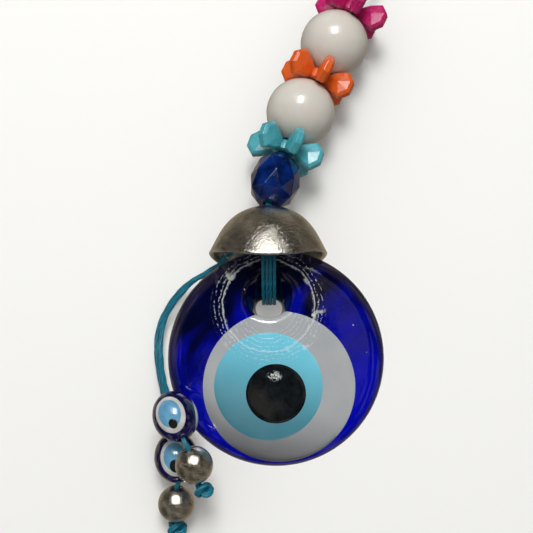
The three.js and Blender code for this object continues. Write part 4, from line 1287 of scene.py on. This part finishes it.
made = bpy.data.objects
kind = {"diameter": 1.2 * MM, "stiffness": "limp", "lay": "loose"}
for side, piece, line in (("a", tail_a, tail_a_line), ("b", tail_b, tail_b_line)):
    on_it = [made[f"small_eye_bead_{side}_barrel"], made[f"silver_bead_{side}_plated"]]
    on_it.append(knots["tail_knot_" + side])
    on_it += [made[f"bead_{side}_eye_{k}_{part}"] for k in (1, 2, 3) for part in ("white", "blue", "pupil")]
    kind.update(exit=line[0], length=length_of(line), path=line)
    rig.cord(piece, far_end="knot", with_pieces=on_it, **kind)
    print("tail", side, "carries", len(on_it), "pieces")
kind.update(exit=loop_line[0], length=length_of(loop_line), path=loop_line)
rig.cord(hanging, far_end="object", **kind)

# %% [markdown]
# The floor is plain and pale. Most of the light is soft, from a big lamp overhead and one on the
# left, and a window-like lamp with a dimmer blind round it puts the highlight on each bead. The
# two soft lamps are left out of reflections, and so is the floor: polished metal should mirror
# a dim room with one bright window, and would go flat and white under a big pale sheet.

# %% Floor and light
table = from_lists("table_top", [(-2, -2, 0), (2, -2, 0), (2, 2, 0), (-2, 2, 0)], faces=[(0, 1, 2, 3)])
table.data.transform(Matrix.Translation((0, 0, cad_box[0].z - 0.02 * MM)))
pale_parts = finish("pale_table", Base_Color=(0.885, 0.88, 0.862, 1), Roughness=0.9, Specular_IOR_Level=0.1)
table.data.materials.append(pale_parts[0])
table.visible_glossy = table.visible_diffuse = False
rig.stage(table)


def lamp(name, place, target, width, height, power, mirrored):
    data = bpy.data.lights.new(name, "AREA")
    data.shape = "RECTANGLE"
    data.size, data.size_y, data.energy = width, height, power
    light = bpy.data.objects.new(name, data)
    bpy.context.scene.collection.objects.link(light)
    light.location = place
    light.rotation_euler = (Vector(target) - Vector(place)).to_track_quat("-Z", "Y").to_euler()
    light.visible_glossy = mirrored
    return light


lamp("window", (0.0, 0.30, 0.60), (0, 0.03, 0), 0.19, 0.27, 1.85, True)
lamp("blind", (0.0, 0.34, 0.60), (0, 0.03, 0), 0.46, 0.34, 1.1, True)
lamp("sky_soft", (0.0, 0.1, 1.1), (0, 0.03, 0), 2.4, 2.4, 3.2, False)
lamp("side_soft", (-0.7, 0.25, 0.5), (0, 0.03, 0), 0.7, 0.7, 0.62, False)
print("lamps:", len(bpy.data.lights))

# %% [markdown]
# The room is only seen in reflections, and it decides how metal looks. It is dim, with a few
# warm patches overhead and a sandy tone below, while the light it throws on everything else is
# an even grey. Light Path tells the two kinds of ray apart. A picture of a real room would do
# the same work, but this one is made of two ramps and one noise.

# %% Room
world = bpy.data.worlds.new("room")
bpy.context.scene.world = world
world.use_nodes = True
tree = world.node_tree
way = add(tree, "ShaderNodeTexCoord").outputs["Generated"]
height = add(tree, "ShaderNodeSeparateXYZ", {0: way}).outputs[2]
patches = ramp_node(tree, noise(tree, way, 2.6, 3.0), 0.52, 0.6)
above = mixed(tree, patches, (0.022, 0.024, 0.021, 1), (0.34, 0.29, 0.23, 1))
seen = mixed(tree, ramp_node(tree, height, -0.35, -0.9), above, (0.34, 0.29, 0.22, 1))
soft = mixed(tree, ramp_node(tree, height, -0.5, 0.3), (0.085, 0.078, 0.074, 1), (0.36, 0.36, 0.35, 1))
mirrored = add(tree, "ShaderNodeLightPath").outputs["Is Glossy Ray"]
background = tree.nodes["Background"]
tree.links.new(mixed(tree, mirrored, soft, seen), background.inputs["Color"])
bpy.context.scene.view_settings.view_transform = "Standard"
print("room nodes:", len(tree.nodes))

# %% [markdown]
# Last, both boxes are written down: the CAD model's, kept from the first cell, and that of the
# pieces as they stand now. The two have to agree to a few per cent, or the dressed model would
# not fit where the CAD model was checked.

# %% Report sizes
visual_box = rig.bounds()
boxes = {"cad": [list(corner) for corner in cad_box], "visual": [list(corner) for corner in visual_box]}
print("visual box, mm:", [[round(v / MM, 1) for v in corner] for corner in visual_box])
with open("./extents.json", "w") as size_file:
    json.dump(boxes, size_file)
